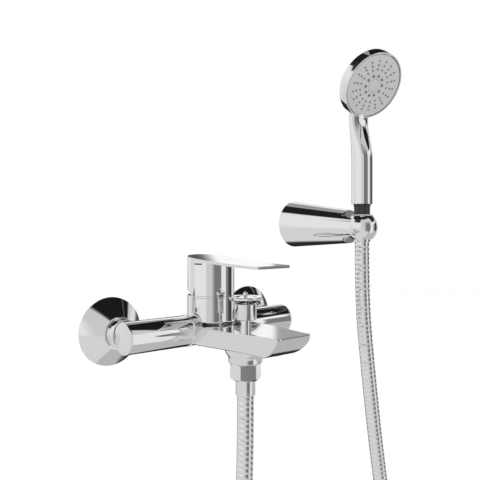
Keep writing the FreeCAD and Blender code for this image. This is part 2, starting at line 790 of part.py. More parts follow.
def make_diverter(s):
    """The pull-up diverter: guide bush, knob, stem, valve disc and return spring."""
    y = -(s.axis_out + s.diverter_out)
    bush = turned("diverter_bush", ring_points(
        s.bush_radius, s.diverter_stem + s.running_gap, s.spout_top - s.bush_depth, s.spout_top))
    node(put(bush, 0, y, 0))
    knob = turned("diverter_knob", [
        (0, s.knob_bottom),
        (s.knob_neck - 0.5, s.knob_bottom),
        (s.knob_neck, s.knob_bottom + 0.5),
        (s.knob_neck, s.knob_rim - 3),
        (s.knob_neck + 1, s.knob_rim - 0.9, -2.2),
        (s.knob_radius - 0.5, s.knob_rim),
        (s.knob_radius, s.knob_rim + 0.6),
        (s.knob_radius, s.knob_top - 1.3),
        (s.knob_radius - 0.7, s.knob_top - 0.6),
        (2.8, s.knob_top),
        (2.5, s.knob_top + 0.4),
        (2.5, s.nub_top - 0.8),
        (1.7, s.nub_top, 0.8),
        (0, s.nub_top),
    ])
    node(put(knob, 0, y, 0))
    chamber_roof = s.spout_top - s.bush_depth
    valve_top = s.valve_depth - s.valve_place
    stem = turned("diverter_stem", [
        (0, -s.valve_place),
        (s.rod_radius, -s.valve_place),
        (s.rod_radius, chamber_roof),
        (s.diverter_stem, chamber_roof),
        (s.diverter_stem, s.knob_bottom),
        (0, s.knob_bottom),
    ])
    node(put(stem, 0, y, 0))
    disc = turned("diverter_valve", [
        (s.rod_radius, -s.valve_place),
        (s.chamber_radius - 1, -s.valve_place),
        (s.chamber_radius - s.body_gap, 0.6 - s.valve_place),
        (s.chamber_radius - s.body_gap, valve_top - 0.6),
        (s.chamber_radius - 1, valve_top),
        (s.rod_radius, valve_top),
    ])
    node(put(disc, 0, y, 0))
    spring = DOC.addObject("Part::Feature", "diverter_spring")
    spring_foot = valve_top + 0.2
    spring.Shape = spring_shape(s, float(chamber_roof - 0.2 - spring_foot))
    node(put(spring, 0, y, spring_foot + s.spring_wire / 2))


def make_hose_outlet(s):
    """Under the boss: outlet nipple, check valve, washer, hexagon hose nut and ferrule."""
    y = -(s.axis_out + s.diverter_out)
    nipple = turned("outlet_nipple", [
        (6.6, -s.nipple_bottom),
        (s.nipple_radius - 0.8, -s.nipple_bottom),
        (s.nipple_radius - s.fit_gap, 0.8 - s.nipple_bottom),
        (s.nipple_radius - s.fit_gap, 1.4 - s.boss_bottom),
        (6.6, 1.4 - s.boss_bottom),
    ])
    node(put(nipple, 0, y, 0))
    check = turned("check_valve", ring_points(6.5, 3.0, 0.4 - s.nipple_bottom, 0.8 - s.boss_bottom))
    node(put(check, 0, y, 0))
    washer_bottom = -(s.nipple_bottom + s.hose_washer_depth)
    washer = turned("hose_washer", ring_points(s.nipple_radius - 0.3, 6.0, washer_bottom, -s.nipple_bottom))
    node(put(washer, 0, y, 0))
    flange_bottom = washer_bottom - 2
    ferrule = turned("hose_ferrule", [
        (s.hose_bore, -s.ferrule_bottom),
        (s.ferrule_radius - 0.5, -s.ferrule_bottom),
        (s.ferrule_radius, 0.5 - s.ferrule_bottom),
        (s.ferrule_radius, flange_bottom),
        (s.nipple_radius - 0.3, flange_bottom),
        (s.nipple_radius - 0.3, washer_bottom),
        (s.hose_bore, washer_bottom),
    ])
    node(put(ferrule, 0, y, 0))
    corner = s.hose_nut_flats / math.sqrt(3)
    nut_top = -s.boss_bottom - 0.3
    height = nut_top + s.hose_nut_bottom
    prism = DOC.addObject("Part::Prism", "hose_nut_prism")
    prism.Polygon = 6
    prism.setExpression("Circumradius", corner.text)
    prism.setExpression("Height", height.text)
    put(prism, 0, y, -s.hose_nut_bottom, Rotation(Vector(0, 0, 1), 30))
    blank = turned("hose_nut_blank", [
        (s.ferrule_radius + 0.15, -s.hose_nut_bottom),
        (corner - 1.1, -s.hose_nut_bottom),
        (corner, 1.0 - s.hose_nut_bottom),
        (corner, nut_top - 1),
        (corner - 1.1, nut_top),
        (s.nipple_radius + s.fit_gap, nut_top),
        (s.nipple_radius + s.fit_gap, flange_bottom - s.fit_gap),
        (s.ferrule_radius + 0.15, flange_bottom - s.fit_gap),
    ])
    put(blank, 0, y, 0)
    node(common("hose_nut", prism, blank))


def hose_plane(s):
    """Turns a route point into a place, in the upright plane through the hose's two ends."""
    start = -float(s.axis_out + s.diverter_out)
    lean = (-float(s.ball_out) - start) / float(s.bracket_across)

    def place(across, up):
        return Vector(across, start + lean * across, up)
    return place, Vector(-lean, 1, 0).normalize()


def hose_edges(points):
    """Straight runs joined by tangent arcs, each as large as its two runs allow."""
    edges = []
    radii = []
    begin = points[0]
    for before, corner, after in zip(points, points[1:], points[2:]):
        into = (before - corner).normalize()
        away = (after - corner).normalize()
        run = min((before - corner).Length, (after - corner).Length)
        half_turn = (math.pi - into.getAngle(away)) / 2
        radius = 0.45 * run / math.tan(half_turn)
        reach = 0.45 * run
        first = corner + into * reach
        last = corner + away * reach
        middle_line = (into + away).normalize()
        middle = corner + middle_line * (radius / math.cos(half_turn) - radius)
        edges.append(Part.LineSegment(begin, first).toShape())
        edges.append(Part.Arc(first, middle, last).toShape())
        radii.append(radius)
        begin = last
    edges.append(Part.LineSegment(begin, points[-1]).toShape())
    return edges, radii


def along(edges, distance):
    """The point and the direction at a distance along the hose."""
    for edge in edges:
        if distance <= edge.Length or edge is edges[-1]:
            place = edge.getParameterByLength(min(distance, edge.Length))
            return edge.valueAt(place), edge.tangentAt(place)
        distance -= edge.Length
    return None


def ring_wire(edges, distance, radius, steady):
    """A circle square to the hose, whose X axis stays on the plane's normal."""
    centre, direction = along(edges, distance)
    return round_wire(centre, direction, steady, radius)


def ribbed_stretch(edges, start, end, s, steady):
    """A stretch of ribbed hose: a ruled loft through four circles a rib, with straight plain ends."""
    crest, groove = float(s.hose_radius), float(s.hose_groove)
    plain = 2 * crest
    count = max(1, round((end - start - 2 * plain) / float(s.rib_pitch)))
    pitch = (end - start - 2 * plain) / count
    rings = [ring_wire(edges, start, crest, steady)]
    for index in range(count):
        rib = start + plain + index * pitch
        for share, radius in ((0.0, crest), (0.14, groove), (0.28, groove), (0.42, crest)):
            rings.append(ring_wire(edges, rib + share * pitch, radius, steady))
    rings.append(ring_wire(edges, end, crest, steady))
    outer = Part.makeLoft(rings, True, True)
    step = max(2, round((end - start) / 22))
    stations = [start + (end - start) * index / step for index in range(step + 1)]
    bore = Part.makeLoft([ring_wire(edges, place, float(s.hose_bore), steady) for place in stations],
                         True, True)
    return outer.cut(bore)


def plain_stretch(edges, s, steady):
    """The lower stretch of the hose as a plain tube."""
    path = Part.Wire(edges)
    tubes = []
    for radius in (float(s.hose_radius), float(s.hose_bore)):
        tubes.append(path.makePipeShell([ring_wire(edges, 0, radius, steady)], True, False))
    return tubes[0].cut(tubes[1])


def make_hose(s):
    """The free hose in three nodes: two ribbed legs, and the unseen lower bend between them."""
    place, steady = hose_plane(s)
    points = [place(*point) for point in ROUTE]
    edges, radii = hose_edges(points)
    lengths = [edge.Length for edge in edges]
    total = sum(lengths)
    print("hose length", round(total, 1), "radii", [round(radius) for radius in radii])
    left_end = lengths[0]
    right_start = total - sum(lengths[-9:])
    parts = (
        ("hose_left", ribbed_stretch(edges, 0, left_end, s, steady), left_end),
        ("hose_lower", plain_stretch(edges[1:-9], s, steady), right_start - left_end),
        ("hose_right", ribbed_stretch(edges, right_start, total, s, steady), total - right_start),
    )
    section = math.pi * (float(s.hose_radius) ** 2 - float(s.hose_bore) ** 2)
    for label, shape, length in parts:
        piece = DOC.addObject("Part::Feature", label)
        piece.Shape = shape
        node(piece)
        print(label, "volume", round(shape.Volume), "section times length", round(section * length))


def bracket_loft(label, s, inset, far, turn):
    """A skewed cone from the wall to the ball, inset from the outside by a wall."""
    length = s.bracket_reach
    share = far / length
    nose = s.bracket_radius + (s.bracket_nose - s.bracket_radius) * share
    rings = []
    drop = (s.bracket_height - s.ball_height) * share
    for index, (radius, out, up) in enumerate((
        (s.bracket_radius - inset, as_size(0), s.bracket_height),
        (nose - inset, far, s.bracket_height - drop),
    )):
        ring = DOC.addObject("Part::Circle", f"{label}_ring_{index}")
        ring.setExpression("Radius", radius.text)
        rings.append(put(ring, s.bracket_across, -out, up, turn))
    loft = DOC.addObject("Part::Loft", label)
    loft.Sections = rings
    loft.Solid = True
    loft.Ruled = True
    return loft


def make_bracket(s):
    """The wall bracket: skewed conical cover hugging the ball, its wall plate and its clamp bolt."""
    across = s.bracket_across
    outer = bracket_loft("bracket_outer", s, as_size(0), s.bracket_reach, OUT)
    hollow_room = bracket_loft("bracket_inner", s, s.bracket_wall, s.bracket_hollow, OUT)
    seat = DOC.addObject("Part::Sphere", "ball_seat")
    seat.setExpression("Radius", (s.ball_radius + s.body_gap).text)
    put(seat, across, -s.ball_out, s.ball_height)
    clear = s.ball_hole_top + 2.5
    slot = box("handset_clearance", (clear * 2, 30, 80),
               (across - clear, -s.ball_out - 15, s.ball_height - 40))
    slot_width = s.bolt_radius * 2 + 0.6
    bolt_slot = box("bolt_slot_cut", (slot_width, 30, s.bolt_slot),
                    (across - slot_width / 2, -s.ball_out, s.ball_height - s.bolt_slot / 2))
    node(cut("bracket_cone", outer, hollow_room, seat, slot, bolt_slot))
    plate = cylinder("plate_disc", s.plate_radius, s.plate_depth, across, 0, s.bracket_height, OUT)
    holes = []
    for index, sign in enumerate((-1, 1)):
        holes.append(cylinder(f"plate_hole_{index}", s.plate_hole_radius, 20, across, 10,
                              s.bracket_height + s.plate_holes * (sign / 2), OUT))
    window = cylinder("plate_window", 5, 20, across, 10, s.bracket_height, OUT)
    node(cut("bracket_plate", plate, window, *holes))


def make_holder(s):
    """The ball holder with its tapered hole, its plastic liner and the clamp bolt."""
    ball = DOC.addObject("Part::Sphere", "holder_ball")
    ball.setExpression("Radius", s.ball_radius.text)
    put(ball, s.bracket_across, -s.ball_out, s.ball_height)
    half = s.ball_radius
    hole = turned("holder_hole", [
        (0, -half),
        (s.ball_hole_bottom, -half),
        (s.ball_hole_top, half),
        (0, half),
    ])
    put(hole, s.bracket_across, -s.ball_out, s.ball_height)
    tap = cylinder("holder_tap", s.bolt_radius, s.ball_radius, s.bracket_across, -s.ball_out, s.ball_height,
                   Rotation(Vector(1, 0, 0), -90))
    node(cut("holder_ball_cup", ball, hole, tap))
    bottom = as_size(11.2)
    top = as_size(10.6)
    outer_bottom = s.ball_hole_bottom + 0.05
    outer_top = s.ball_hole_top - 0.2
    liner = turned("holder_liner", [
        (outer_bottom - s.liner_wall, -bottom),
        (outer_bottom, -bottom),
        (outer_top, top),
        (outer_top, top + 0.5),
        (s.ball_hole_top + 0.5, top + 0.5),
        (s.ball_hole_top + 0.3, top + 1.2),
        (outer_top - s.liner_wall, top + 1.2),
    ])
    node(put(liner, s.bracket_across, -s.ball_out, s.ball_height))
    head_far = s.ball_radius + 12
    bolt = turned("clamp_bolt", [
        (0, s.ball_radius - 3),
        (s.bolt_radius, s.ball_radius - 3),
        (s.bolt_radius, head_far),
        (s.bolt_radius + 2, head_far),
        (s.bolt_radius + 2, head_far + 2.5),
        (0, head_far + 2.5),
    ])
    node(put(bolt, s.bracket_across, -s.ball_out, s.ball_height, Rotation(Vector(1, 0, 0), -90)))


def ease(share):
    """A smooth step from 0 to 1."""
    share = min(max(share, 0.0), 1.0)
    return share * share * (3 - 2 * share)


def handle_section(s, height):
    """Half width, half depth, setback and lean of the handle at a height."""
    neck = ease((height - float(s.neck_start)) / float(s.neck_rise))
    entry = ease((height - float(s.neck_start + s.neck_rise)) / float(s.neck_entry))
    half_width = s.handle_radius * (1 + 0.12 * neck + 0.55 * entry)
    half_depth = s.handle_radius * (1 - 0.46 * neck)
    setback = s.neck_setback * neck - s.head_inset * entry
    lean = 10 * neck + (float(s.head_tilt) - 10) * entry
    return half_width, half_depth, setback, lean


def handset_place(s, piece, along_y=0.0, up=0.0, lean=0.0):
    """Place a piece given in the hand shower's own frame, turned about the handle's axis."""
    turn = Rotation(Vector(0, 0, 1), float(s.handset_turn))
    offset = turn.multVec(Vector(0, float(along_y), 0))
    tilt = turn.multiply(Rotation(Vector(1, 0, 0), lean))
    return put(piece, s.bracket_across + offset.x, offset.y - s.ball_out, s.ball_height + up, tilt)


def handle_loft(s):
    """The hand shower's grip and neck, lofted through ellipses up the back of the head."""
    rings = []
    top = float(s.neck_start + s.neck_rise + s.neck_entry)
    steps = 9
    heights = [float(s.handle_bottom), float(s.handle_bottom) + 20]
    heights += [float(s.neck_start) + (top - float(s.neck_start)) * index / steps for index in range(steps + 1)]
    for index, height in enumerate(heights):
        half_width, half_depth, setback, lean = handle_section(s, height)
        ring = DOC.addObject("Part::Ellipse", f"handle_section_{index}")
        ring.setExpression("MajorRadius", (half_width + 0.001).text)
        ring.setExpression("MinorRadius", half_depth.text)
        rings.append(handset_place(s, ring, float(setback), height, lean))
    loft = DOC.addObject("Part::Loft", "handle_loft")
    loft.Sections = rings
    loft.Solid = True
    loft.Ruled = True
    return loft


def strip_region(label, s, gap):
    """The room of the handle's front strip, widening upwards into the neck."""
    place = -s.strip_place + gap
    region = padded(label, [
        (-30, s.handle_bottom - 1),
        (place, s.handle_bottom - 1),
        (place, s.neck_start + 2 + gap),
        (-2.9 + gap, s.neck_start + 25 + gap),
        (-0.5 + gap, s.neck_start + 36 + gap),
        (-30, s.neck_start + 37 + gap),
    ], 60, role="YZ_Plane", both_ways=True)
    return handset_place(s, region)


def head_piece(s, piece, local=Vector()):
    """Place a turned piece on the head's axis: its Z runs out of the spray face."""
    turn = Rotation(Vector(0, 0, 1), float(s.handset_turn))
    tilt = turn.multiply(Rotation(Vector(1, 0, 0), 90 + float(s.head_tilt)))
    offset = turn.multVec(Vector(0, -float(s.head_out), 0)) + tilt.multVec(local)
    height = s.ball_height + s.head_height + offset.z
    return put(piece, s.bracket_across + offset.x, offset.y - s.ball_out, height, tilt)


def nozzle_ring(label, s, radius, share, count, offset_turn):
    """Soft nozzles standing on the spray face, evenly round one ring."""
    nozzles = []
    for index in range(count):
        angle = 2 * math.pi * (index + offset_turn) / count
        ring = float(s.face_radius) * share
        nozzle = DOC.addObject("Part::Cone", f"{label}_{index}")
        nozzle.setExpression("Radius1", radius.text)
        nozzle.setExpression("Radius2", (radius * 0.75).text)
        nozzle.setExpression("Height", s.nozzle_rise.text)
        nozzles.append(head_piece(s, nozzle, Vector(ring * math.cos(angle), ring * math.sin(angle), 0)))
    return nozzles


def make_handset(s):
    """The hand shower: rear shell with the head, front strip, neck, spray face, nozzles and tube."""
    head = turned("head_shell", [
        (0, -s.head_depth - s.head_dome),
        (s.head_radius * 0.62, -s.head_depth - s.head_dome * 0.6, 50),
        (s.head_radius - 1.2, -s.head_depth, 22),
        (s.head_radius, 1.0 - s.head_depth, 1.3),
        (s.head_radius, -0.7),
        (s.head_radius - 0.7, 0),
        (s.face_radius + 0.5, 0),
        (s.face_radius + 0.5, -s.face_depth - 0.6),
        (0, -s.face_depth - 0.6),
    ])
    head_piece(s, head)
    loft = handle_loft(s)
    room = turned("head_room", [
        (0, -s.face_depth - 0.7),
        (s.face_radius + 0.5, -s.face_depth - 0.7),
        (s.face_radius + 0.5, 30),
        (0, 30),
    ])
    head_piece(s, room)
    water_reach = s.neck_start + s.neck_rise - s.handle_bottom
    water_way = cylinder("handset_water_way", s.water_bore, water_reach + 2, 0, 0, 0)
    handset_place(s, water_way, 0, s.handle_bottom)
    solid = fuse("handset_solid", loft, head)
    node(cut("handset_shell", solid, room, water_way, strip_region("strip_room", s, s.strip_gap)))
    strip_loft = common("strip_solid", loft, strip_region("strip_shape", s, as_size(0)))
    strip_bore = cylinder("strip_bore", s.water_bore, water_reach + 2, 0, 0, 0)
    handset_place(s, strip_bore, 0, s.handle_bottom)
    node(cut("handle_strip", strip_loft, strip_bore, head_room_copy(s)))
    tube = turned("water_tube", ring_points(s.water_bore - s.fit_gap, s.water_bore - 1, 0, water_reach - 4))
    node(handset_place(s, tube, 0, s.handle_bottom))
    neck = turned("handset_neck", [
        (s.hose_bore, s.neck_bottom),
        (s.neck_radius, s.neck_bottom),
        (s.neck_radius, s.handle_bottom - 2.6),
        (s.neck_radius + 0.5, s.handle_bottom - 2.2),
        (s.neck_radius + 0.5, s.handle_bottom),
        (s.hose_bore, s.handle_bottom),
    ])
    node(handset_place(s, neck))
    cone_top = s.neck_bottom - 1.5
    washer = turned("handset_washer", ring_points(s.neck_radius - 0.2, s.hose_bore, cone_top, s.neck_bottom))
    node(handset_place(s, washer))
    cone = turned("hose_cone_nut", [
        (s.hose_bore, s.hose_cone_bottom),
        (s.hose_cone_end_radius - 0.4, s.hose_cone_bottom),
        (s.hose_cone_end_radius, s.hose_cone_bottom + 0.4),
        (s.hose_cone_top_radius, cone_top - 0.5),
        (s.hose_cone_top_radius - 0.5, cone_top),
        (s.hose_bore, cone_top),
    ])
    node(handset_place(s, cone))
    face = turned("spray_face", [
        (s.centre_radius + 0.1, -s.face_depth),
        (s.face_radius, -s.face_depth),
        (s.face_radius, -0.5),
        (s.face_radius - 0.5, 0),
        (s.centre_radius + 0.1, 0),
    ])
    node(head_piece(s, face))
    disc = turned("face_centre", [
        (0, -s.face_depth),
        (s.centre_radius, -s.face_depth),
        (s.centre_radius, -0.2),
        (s.centre_radius - 0.3, 0.1),
        (0, 0.3),
    ])
    node(head_piece(s, disc))
    outer = []
    for ring_index, share in enumerate(NOZZLE_RINGS):
        outer += nozzle_ring(f"outer_nozzle_{ring_index}", s, s.outer_nozzle, share, NOZZLE_ROWS, 0.0)
    node(group("nozzles_outer", *outer))
    node(group("nozzles_inner", *nozzle_ring("inner_nozzle", s, s.inner_nozzle, INNER_RING,
                                            INNER_NOZZLES, 0.25)))


def head_room_copy(s):
    """The head's own room, kept clear of the front strip."""
    room = turned("strip_head_room", [
        (0, -s.head_depth - s.head_dome - 1),
        (s.head_radius + s.body_gap, -s.head_depth - s.head_dome - 1),
        (s.head_radius + s.body_gap, 30),
        (0, 30),
    ])
    return head_piece(s, room)


def check_and_export():
    """Check every object and shape, then write one STEP file for each node."""
    DOC.recompute()
    for item in DOC.Objects:
        if "Invalid" in item.State or "Error" in item.State:
            raise RuntimeError(f"{item.Label} did not compute: {item.State}")
    for piece in NODES:
        if piece.Shape.isNull() or not piece.Shape.isValid() or not piece.Shape.Solids:
            raise RuntimeError(f"{piece.Label} has no valid solid")
    os.makedirs("parts", exist_ok=True)
    for piece in NODES:
        piece.Shape.exportStep(f"parts/{piece.Label}.step")
    print(len(NODES), "nodes")


def main():
    sizes = write_sheet()
    make_inlets(sizes)
    make_tubes(sizes)
    make_mixer_body(sizes)
    make_outlet_insert(sizes)
    make_cartridge(sizes)
    make_lever(sizes)
    make_diverter(sizes)
    make_hose_outlet(sizes)
    make_hose(sizes)
    make_bracket(sizes)
    make_holder(sizes)
    make_handset(sizes)
    check_and_export()


main()
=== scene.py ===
import json
import math

import bmesh
import bpy
from mathutils import Matrix, Vector

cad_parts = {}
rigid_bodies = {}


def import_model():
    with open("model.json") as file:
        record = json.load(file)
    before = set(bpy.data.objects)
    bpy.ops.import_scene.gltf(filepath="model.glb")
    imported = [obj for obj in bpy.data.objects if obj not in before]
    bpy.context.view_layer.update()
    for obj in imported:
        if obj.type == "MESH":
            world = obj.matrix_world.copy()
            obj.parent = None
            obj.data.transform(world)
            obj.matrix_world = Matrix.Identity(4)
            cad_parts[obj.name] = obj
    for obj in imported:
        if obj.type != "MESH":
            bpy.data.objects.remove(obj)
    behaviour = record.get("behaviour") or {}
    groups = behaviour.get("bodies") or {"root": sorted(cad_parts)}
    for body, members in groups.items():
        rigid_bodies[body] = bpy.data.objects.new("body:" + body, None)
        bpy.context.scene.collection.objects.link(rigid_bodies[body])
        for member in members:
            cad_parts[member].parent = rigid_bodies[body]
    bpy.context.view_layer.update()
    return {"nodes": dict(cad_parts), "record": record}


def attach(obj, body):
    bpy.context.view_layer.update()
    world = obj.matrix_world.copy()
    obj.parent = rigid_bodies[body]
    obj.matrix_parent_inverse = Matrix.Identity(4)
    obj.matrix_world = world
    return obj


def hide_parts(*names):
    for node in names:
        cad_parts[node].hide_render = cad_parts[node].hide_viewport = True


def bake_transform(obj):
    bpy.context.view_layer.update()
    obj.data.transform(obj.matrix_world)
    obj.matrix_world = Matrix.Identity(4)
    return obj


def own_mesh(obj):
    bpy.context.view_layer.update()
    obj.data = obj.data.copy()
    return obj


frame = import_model()

MM = 0.001
SIDES = (("left", -1), ("right", 1))

# Main sizes in millimetres, the same as the solids'
INLET_SPACING = 150.0
AXIS_OUT = 39.2
TUBE_RADIUS = 12.8
TUBE_BORE = 10.3
TUBE_END = 85.7
INLET_BORE = 6.5
SEAM_PLACE = 26.2
COLUMN_RADIUS = 20.0
COLUMN_TOP = 28.4
POCKET_RADIUS = 17.7
SPOUT_TOP = 5.2
SPOUT_BOTTOM = -11.2
SPOUT_LIP = 4.4
SPOUT_ROOT = 25.4
SPOUT_HALF = 18.5
SPOUT_KEEL = 17.5
SPOUT_REACH = 100.2
SPOUT_CORNER = 4.0
NOSE_START = 83.5
NOSE_RADIUS = 26.0
BOSS_BOTTOM = -22.4
LEVER_REACH = 78.4
LEVER_WIDTH = 35.3
LEVER_HEIGHT = 61.0
LEVER_SLOPE = 4.7 / LEVER_REACH
LEVER_THICKNESS = 2.2
LEVER_HOLLOW = 1.2
DIVERTER_OUT = 84.2
BRACKET_ACROSS = 143.4
BRACKET_HEIGHT = 89.5
BALL_OUT = 88.3
BALL_HEIGHT = 86.2
BALL_RADIUS = 14.6
HANDLE_RADIUS = 9.85
HANDLE_BOTTOM = 108.0
NECK_START = 150.0
NECK_RISE = 40.0
HEAD_START = 190.0
HEAD_RISE = 18.0
HEAD_TILT = 30.8
FACE_RADIUS = 29.6
NOZZLE_RISE = 0.7
HOSE_RADIUS = 6.85
HOSE_TOP = 72.0
HOSE_START = -48.7

# The hose's route from the ferrule to the hand shower, across and up, in its own upright plane
HOSE_ROUTE = (
    (0.0, HOSE_START),
    (0.0, -118.0),
    (-7.0, -198.0),
    (-22.0, -285.0),
    (-34.0, -372.0),
    (-16.0, -452.0),
    (40.0, -505.0),
    (114.0, -509.0),
    (174.0, -466.0),
    (197.0, -388.0),
    (193.0, -300.0),
    (181.0, -212.0),
    (164.0, -126.0),
    (151.0, -42.0),
    (BRACKET_ACROSS, 18.0),
    (BRACKET_ACROSS, HOSE_TOP),
)


def turned_about(axis, degrees):
    return Matrix.Rotation(math.radians(degrees), 4, axis)


def shifted(across, along, up):
    return Matrix.Translation(Vector((across, along, up)) * MM)


OUT_OF_WALL = turned_about("X", 90)
HANDSET = shifted(BRACKET_ACROSS, -BALL_OUT, 0) @ turned_about("Z", -9.0)
HEAD = HANDSET @ shifted(0, -15.8, 217.0) @ turned_about("X", 90 + HEAD_TILT)


# Finishes

def new_material(name):
    material = bpy.data.materials.new(name)
    material.use_nodes = True
    shader = material.node_tree.nodes["Principled BSDF"]
    return material, material.node_tree, shader


def object_noise(tree, scale, detail=2.0):
    """Noise that stays with the piece."""
    place = tree.nodes.new("ShaderNodeTexCoord")
    noise = tree.nodes.new("ShaderNodeTexNoise")
    noise.inputs["Scale"].default_value = scale
    noise.inputs["Detail"].default_value = detail
    tree.links.new(place.outputs["Object"], noise.inputs["Vector"])
    return noise


def spread(tree, source, low, high):
    """Turn a 0 to 1 value into a range."""
    reach = tree.nodes.new("ShaderNodeMapRange")
    reach.inputs["To Min"].default_value = low
    reach.inputs["To Max"].default_value = high
    tree.links.new(source, reach.inputs["Value"])
    return reach.outputs["Result"]


def plated(name, colour, smooth, rough):
    """Polished plating with faint wiping marks in its gloss."""
    material, tree, shader = new_material(name)
    shader.inputs["Base Color"].default_value = (*colour, 1)
    shader.inputs["Metallic"].default_value = 1.0
    noise = object_noise(tree, 55)
    tree.links.new(spread(tree, noise.outputs["Fac"], smooth, rough), shader.inputs["Roughness"])
    return material


def moulded(name, colour, rough, variation=0.03, grain=0.0):
    """Moulded plastic or rubber, a little uneven in tone."""
    material, tree, shader = new_material(name)
    noise = object_noise(tree, 140, 3.0)
    ramp = tree.nodes.new("ShaderNodeMix")
    ramp.data_type = "RGBA"
    ramp.inputs["A"].default_value = (*[part * (1 - variation) for part in colour], 1)
    ramp.inputs["B"].default_value = (*[min(1, part * (1 + variation)) for part in colour], 1)
    tree.links.new(noise.outputs["Fac"], ramp.inputs["Factor"])
    tree.links.new(ramp.outputs["Result"], shader.inputs["Base Color"])
    gloss = spread(tree, noise.outputs["Fac"], rough - 0.06, rough + 0.06)
    tree.links.new(gloss, shader.inputs["Roughness"])
    if grain:
        bump = tree.nodes.new("ShaderNodeBump")
        bump.inputs["Strength"].default_value = grain
        bump.inputs["Distance"].default_value = 0.0002
        fine = object_noise(tree, 1500, 2.0)
        tree.links.new(fine.outputs["Fac"], bump.inputs["Height"])
        tree.links.new(bump.outputs["Normal"], shader.inputs["Normal"])
    return material


CHROME = plated("polished_chrome", (0.88, 0.885, 0.89), 0.035, 0.075)
SOFT_CHROME = plated("cast_chrome", (0.86, 0.865, 0.87), 0.06, 0.11)
HOSE_CHROME = plated("hose_chrome", (0.86, 0.86, 0.855), 0.08, 0.16)
BRASS = plated("turned_brass", (0.74, 0.60, 0.34), 0.22, 0.34)
STEEL = plated("bright_steel", (0.62, 0.62, 0.63), 0.2, 0.32)
BLACK_PLASTIC = moulded("black_plastic", (0.02, 0.02, 0.021), 0.42)
GREY_PLASTIC = moulded("matt_grey_face", (0.43, 0.43, 0.435), 0.48, 0.02, 0.15)
WHITE_PLASTIC = moulded("white_plastic", (0.80, 0.80, 0.78), 0.4)
RUBBER = moulded("black_rubber", (0.03, 0.03, 0.03), 0.62, 0.1)
NOZZLE_RUBBER = moulded("dark_nozzles", (0.13, 0.13, 0.135), 0.55, 0.05)

SLOT_FINISH = {
    "chrome": CHROME,
    "brass": BRASS,
    "steel": STEEL,
    "black_plastic": BLACK_PLASTIC,
    "grey_plastic": GREY_PLASTIC,
    "white_plastic": WHITE_PLASTIC,
    "rubber": RUBBER,
    "soft_grey": NOZZLE_RUBBER,
}


def finish_solids():
    """Give every carried-over solid the finish of its slot."""
    for part in frame["record"]["subparts"]:
        solid = frame["nodes"][part["node"]]
        solid.data.materials.clear()
        solid.data.materials.append(SLOT_FINISH[part["material_slot"]])


# Shapes

def rounded(outline, steps=4):
    """Round the corners of an outline: a point's third value is that corner's radius."""
    result = []
    for index, point in enumerate(outline):
        corner = Vector(point[:2])
        radius = point[2] if len(point) > 2 else 0
        if not radius:
            result.append(corner)
            continue
        into = (Vector(outline[index - 1][:2]) - corner).normalized()
        away = (Vector(outline[(index + 1) % len(outline)][:2]) - corner).normalized()
        opening = into.angle(away)
        reach = radius / math.tan(opening / 2)
        centre = corner + (into + away).normalized() * (radius / math.sin(opening / 2))
        first = corner + into * reach - centre
        last = corner + away * reach - centre
        sweep = math.pi - opening
        for step in range(steps + 1):
            share = step / steps
            spoke = first * math.sin((1 - share) * sweep) + last * math.sin(share * sweep)
            result.append(centre + spoke / math.sin(sweep))
    return result


def add_piece(name, mesh, material, body, sharp=32, hides=()):
    """Put a finished mesh in the scene and tie it to its body."""
    piece = bpy.data.objects.new(name, mesh)
    bpy.context.collection.objects.link(piece)
    mesh.materials.clear()
    mesh.materials.append(material)
    mesh.shade_smooth()
    mesh.set_sharp_from_angle(angle=math.radians(sharp))
    if body:
        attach(piece, body)
    if hides:
        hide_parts(*hides)
    return piece


def mesh_from(bm, name):
    bmesh.ops.remove_doubles(bm, verts=bm.verts, dist=1e-7)
    bmesh.ops.recalc_face_normals(bm, faces=bm.faces)
    mesh = bpy.data.meshes.new(name)
    bm.to_mesh(mesh)
    bm.free()
    return mesh


def lathe_into(bm, outline, place=Matrix(), steps=96):
    """Turn a closed outline of radii and heights about its own Z axis."""
    points = rounded(outline)
    rings = []
    for point in points:
        if point.x < 1e-6:
            rings.append([bm.verts.new(place @ Vector((0, 0, point.y * MM)))])
            continue
        ring = []
        for step in range(steps):
            angle = 2 * math.pi * step / steps
            spot = Vector((point.x * math.cos(angle), point.x * math.sin(angle), point.y)) * MM
            ring.append(bm.verts.new(place @ spot))
        rings.append(ring)
    for index, ring in enumerate(rings):
        following = rings[(index + 1) % len(rings)]
        if len(ring) == 1 and len(following) == 1:
            continue
        for step in range(steps):
            after = (step + 1) % steps
            if len(ring) == 1:
                bm.faces.new((ring[0], following[step], following[after]))
            elif len(following) == 1:
                bm.faces.new((ring[step], ring[after], following[0]))
            else:
                bm.faces.new((ring[step], ring[after], following[after], following[step]))


def lathe(name, outline, material, body, place=Matrix(), steps=96, hides=(), sharp=32):
    bm = bmesh.new()
    lathe_into(bm, outline, place, steps)
    return add_piece(name, mesh_from(bm, name), material, body, sharp, hides)


def prism_into(bm, outline, low, high, place=Matrix(), corner_steps=5):
    """A straight prism over a closed outline."""
    points = rounded(outline, corner_steps)
    bottom = [bm.verts.new(place @ Vector((point.x * MM, point.y * MM, low * MM))) for point in points]
    top = [bm.verts.new(place @ Vector((point.x * MM, point.y * MM, high * MM))) for point in points]
    bm.faces.new(bottom)
    bm.faces.new(top)
    for index in range(len(points)):
        after = (index + 1) % len(points)
        bm.faces.new((bottom[index], bottom[after], top[after], top[index]))


def loose_object(name, bm):
    piece = bpy.data.objects.new(name, mesh_from(bm, name))
    bpy.context.collection.objects.link(piece)
    return piece


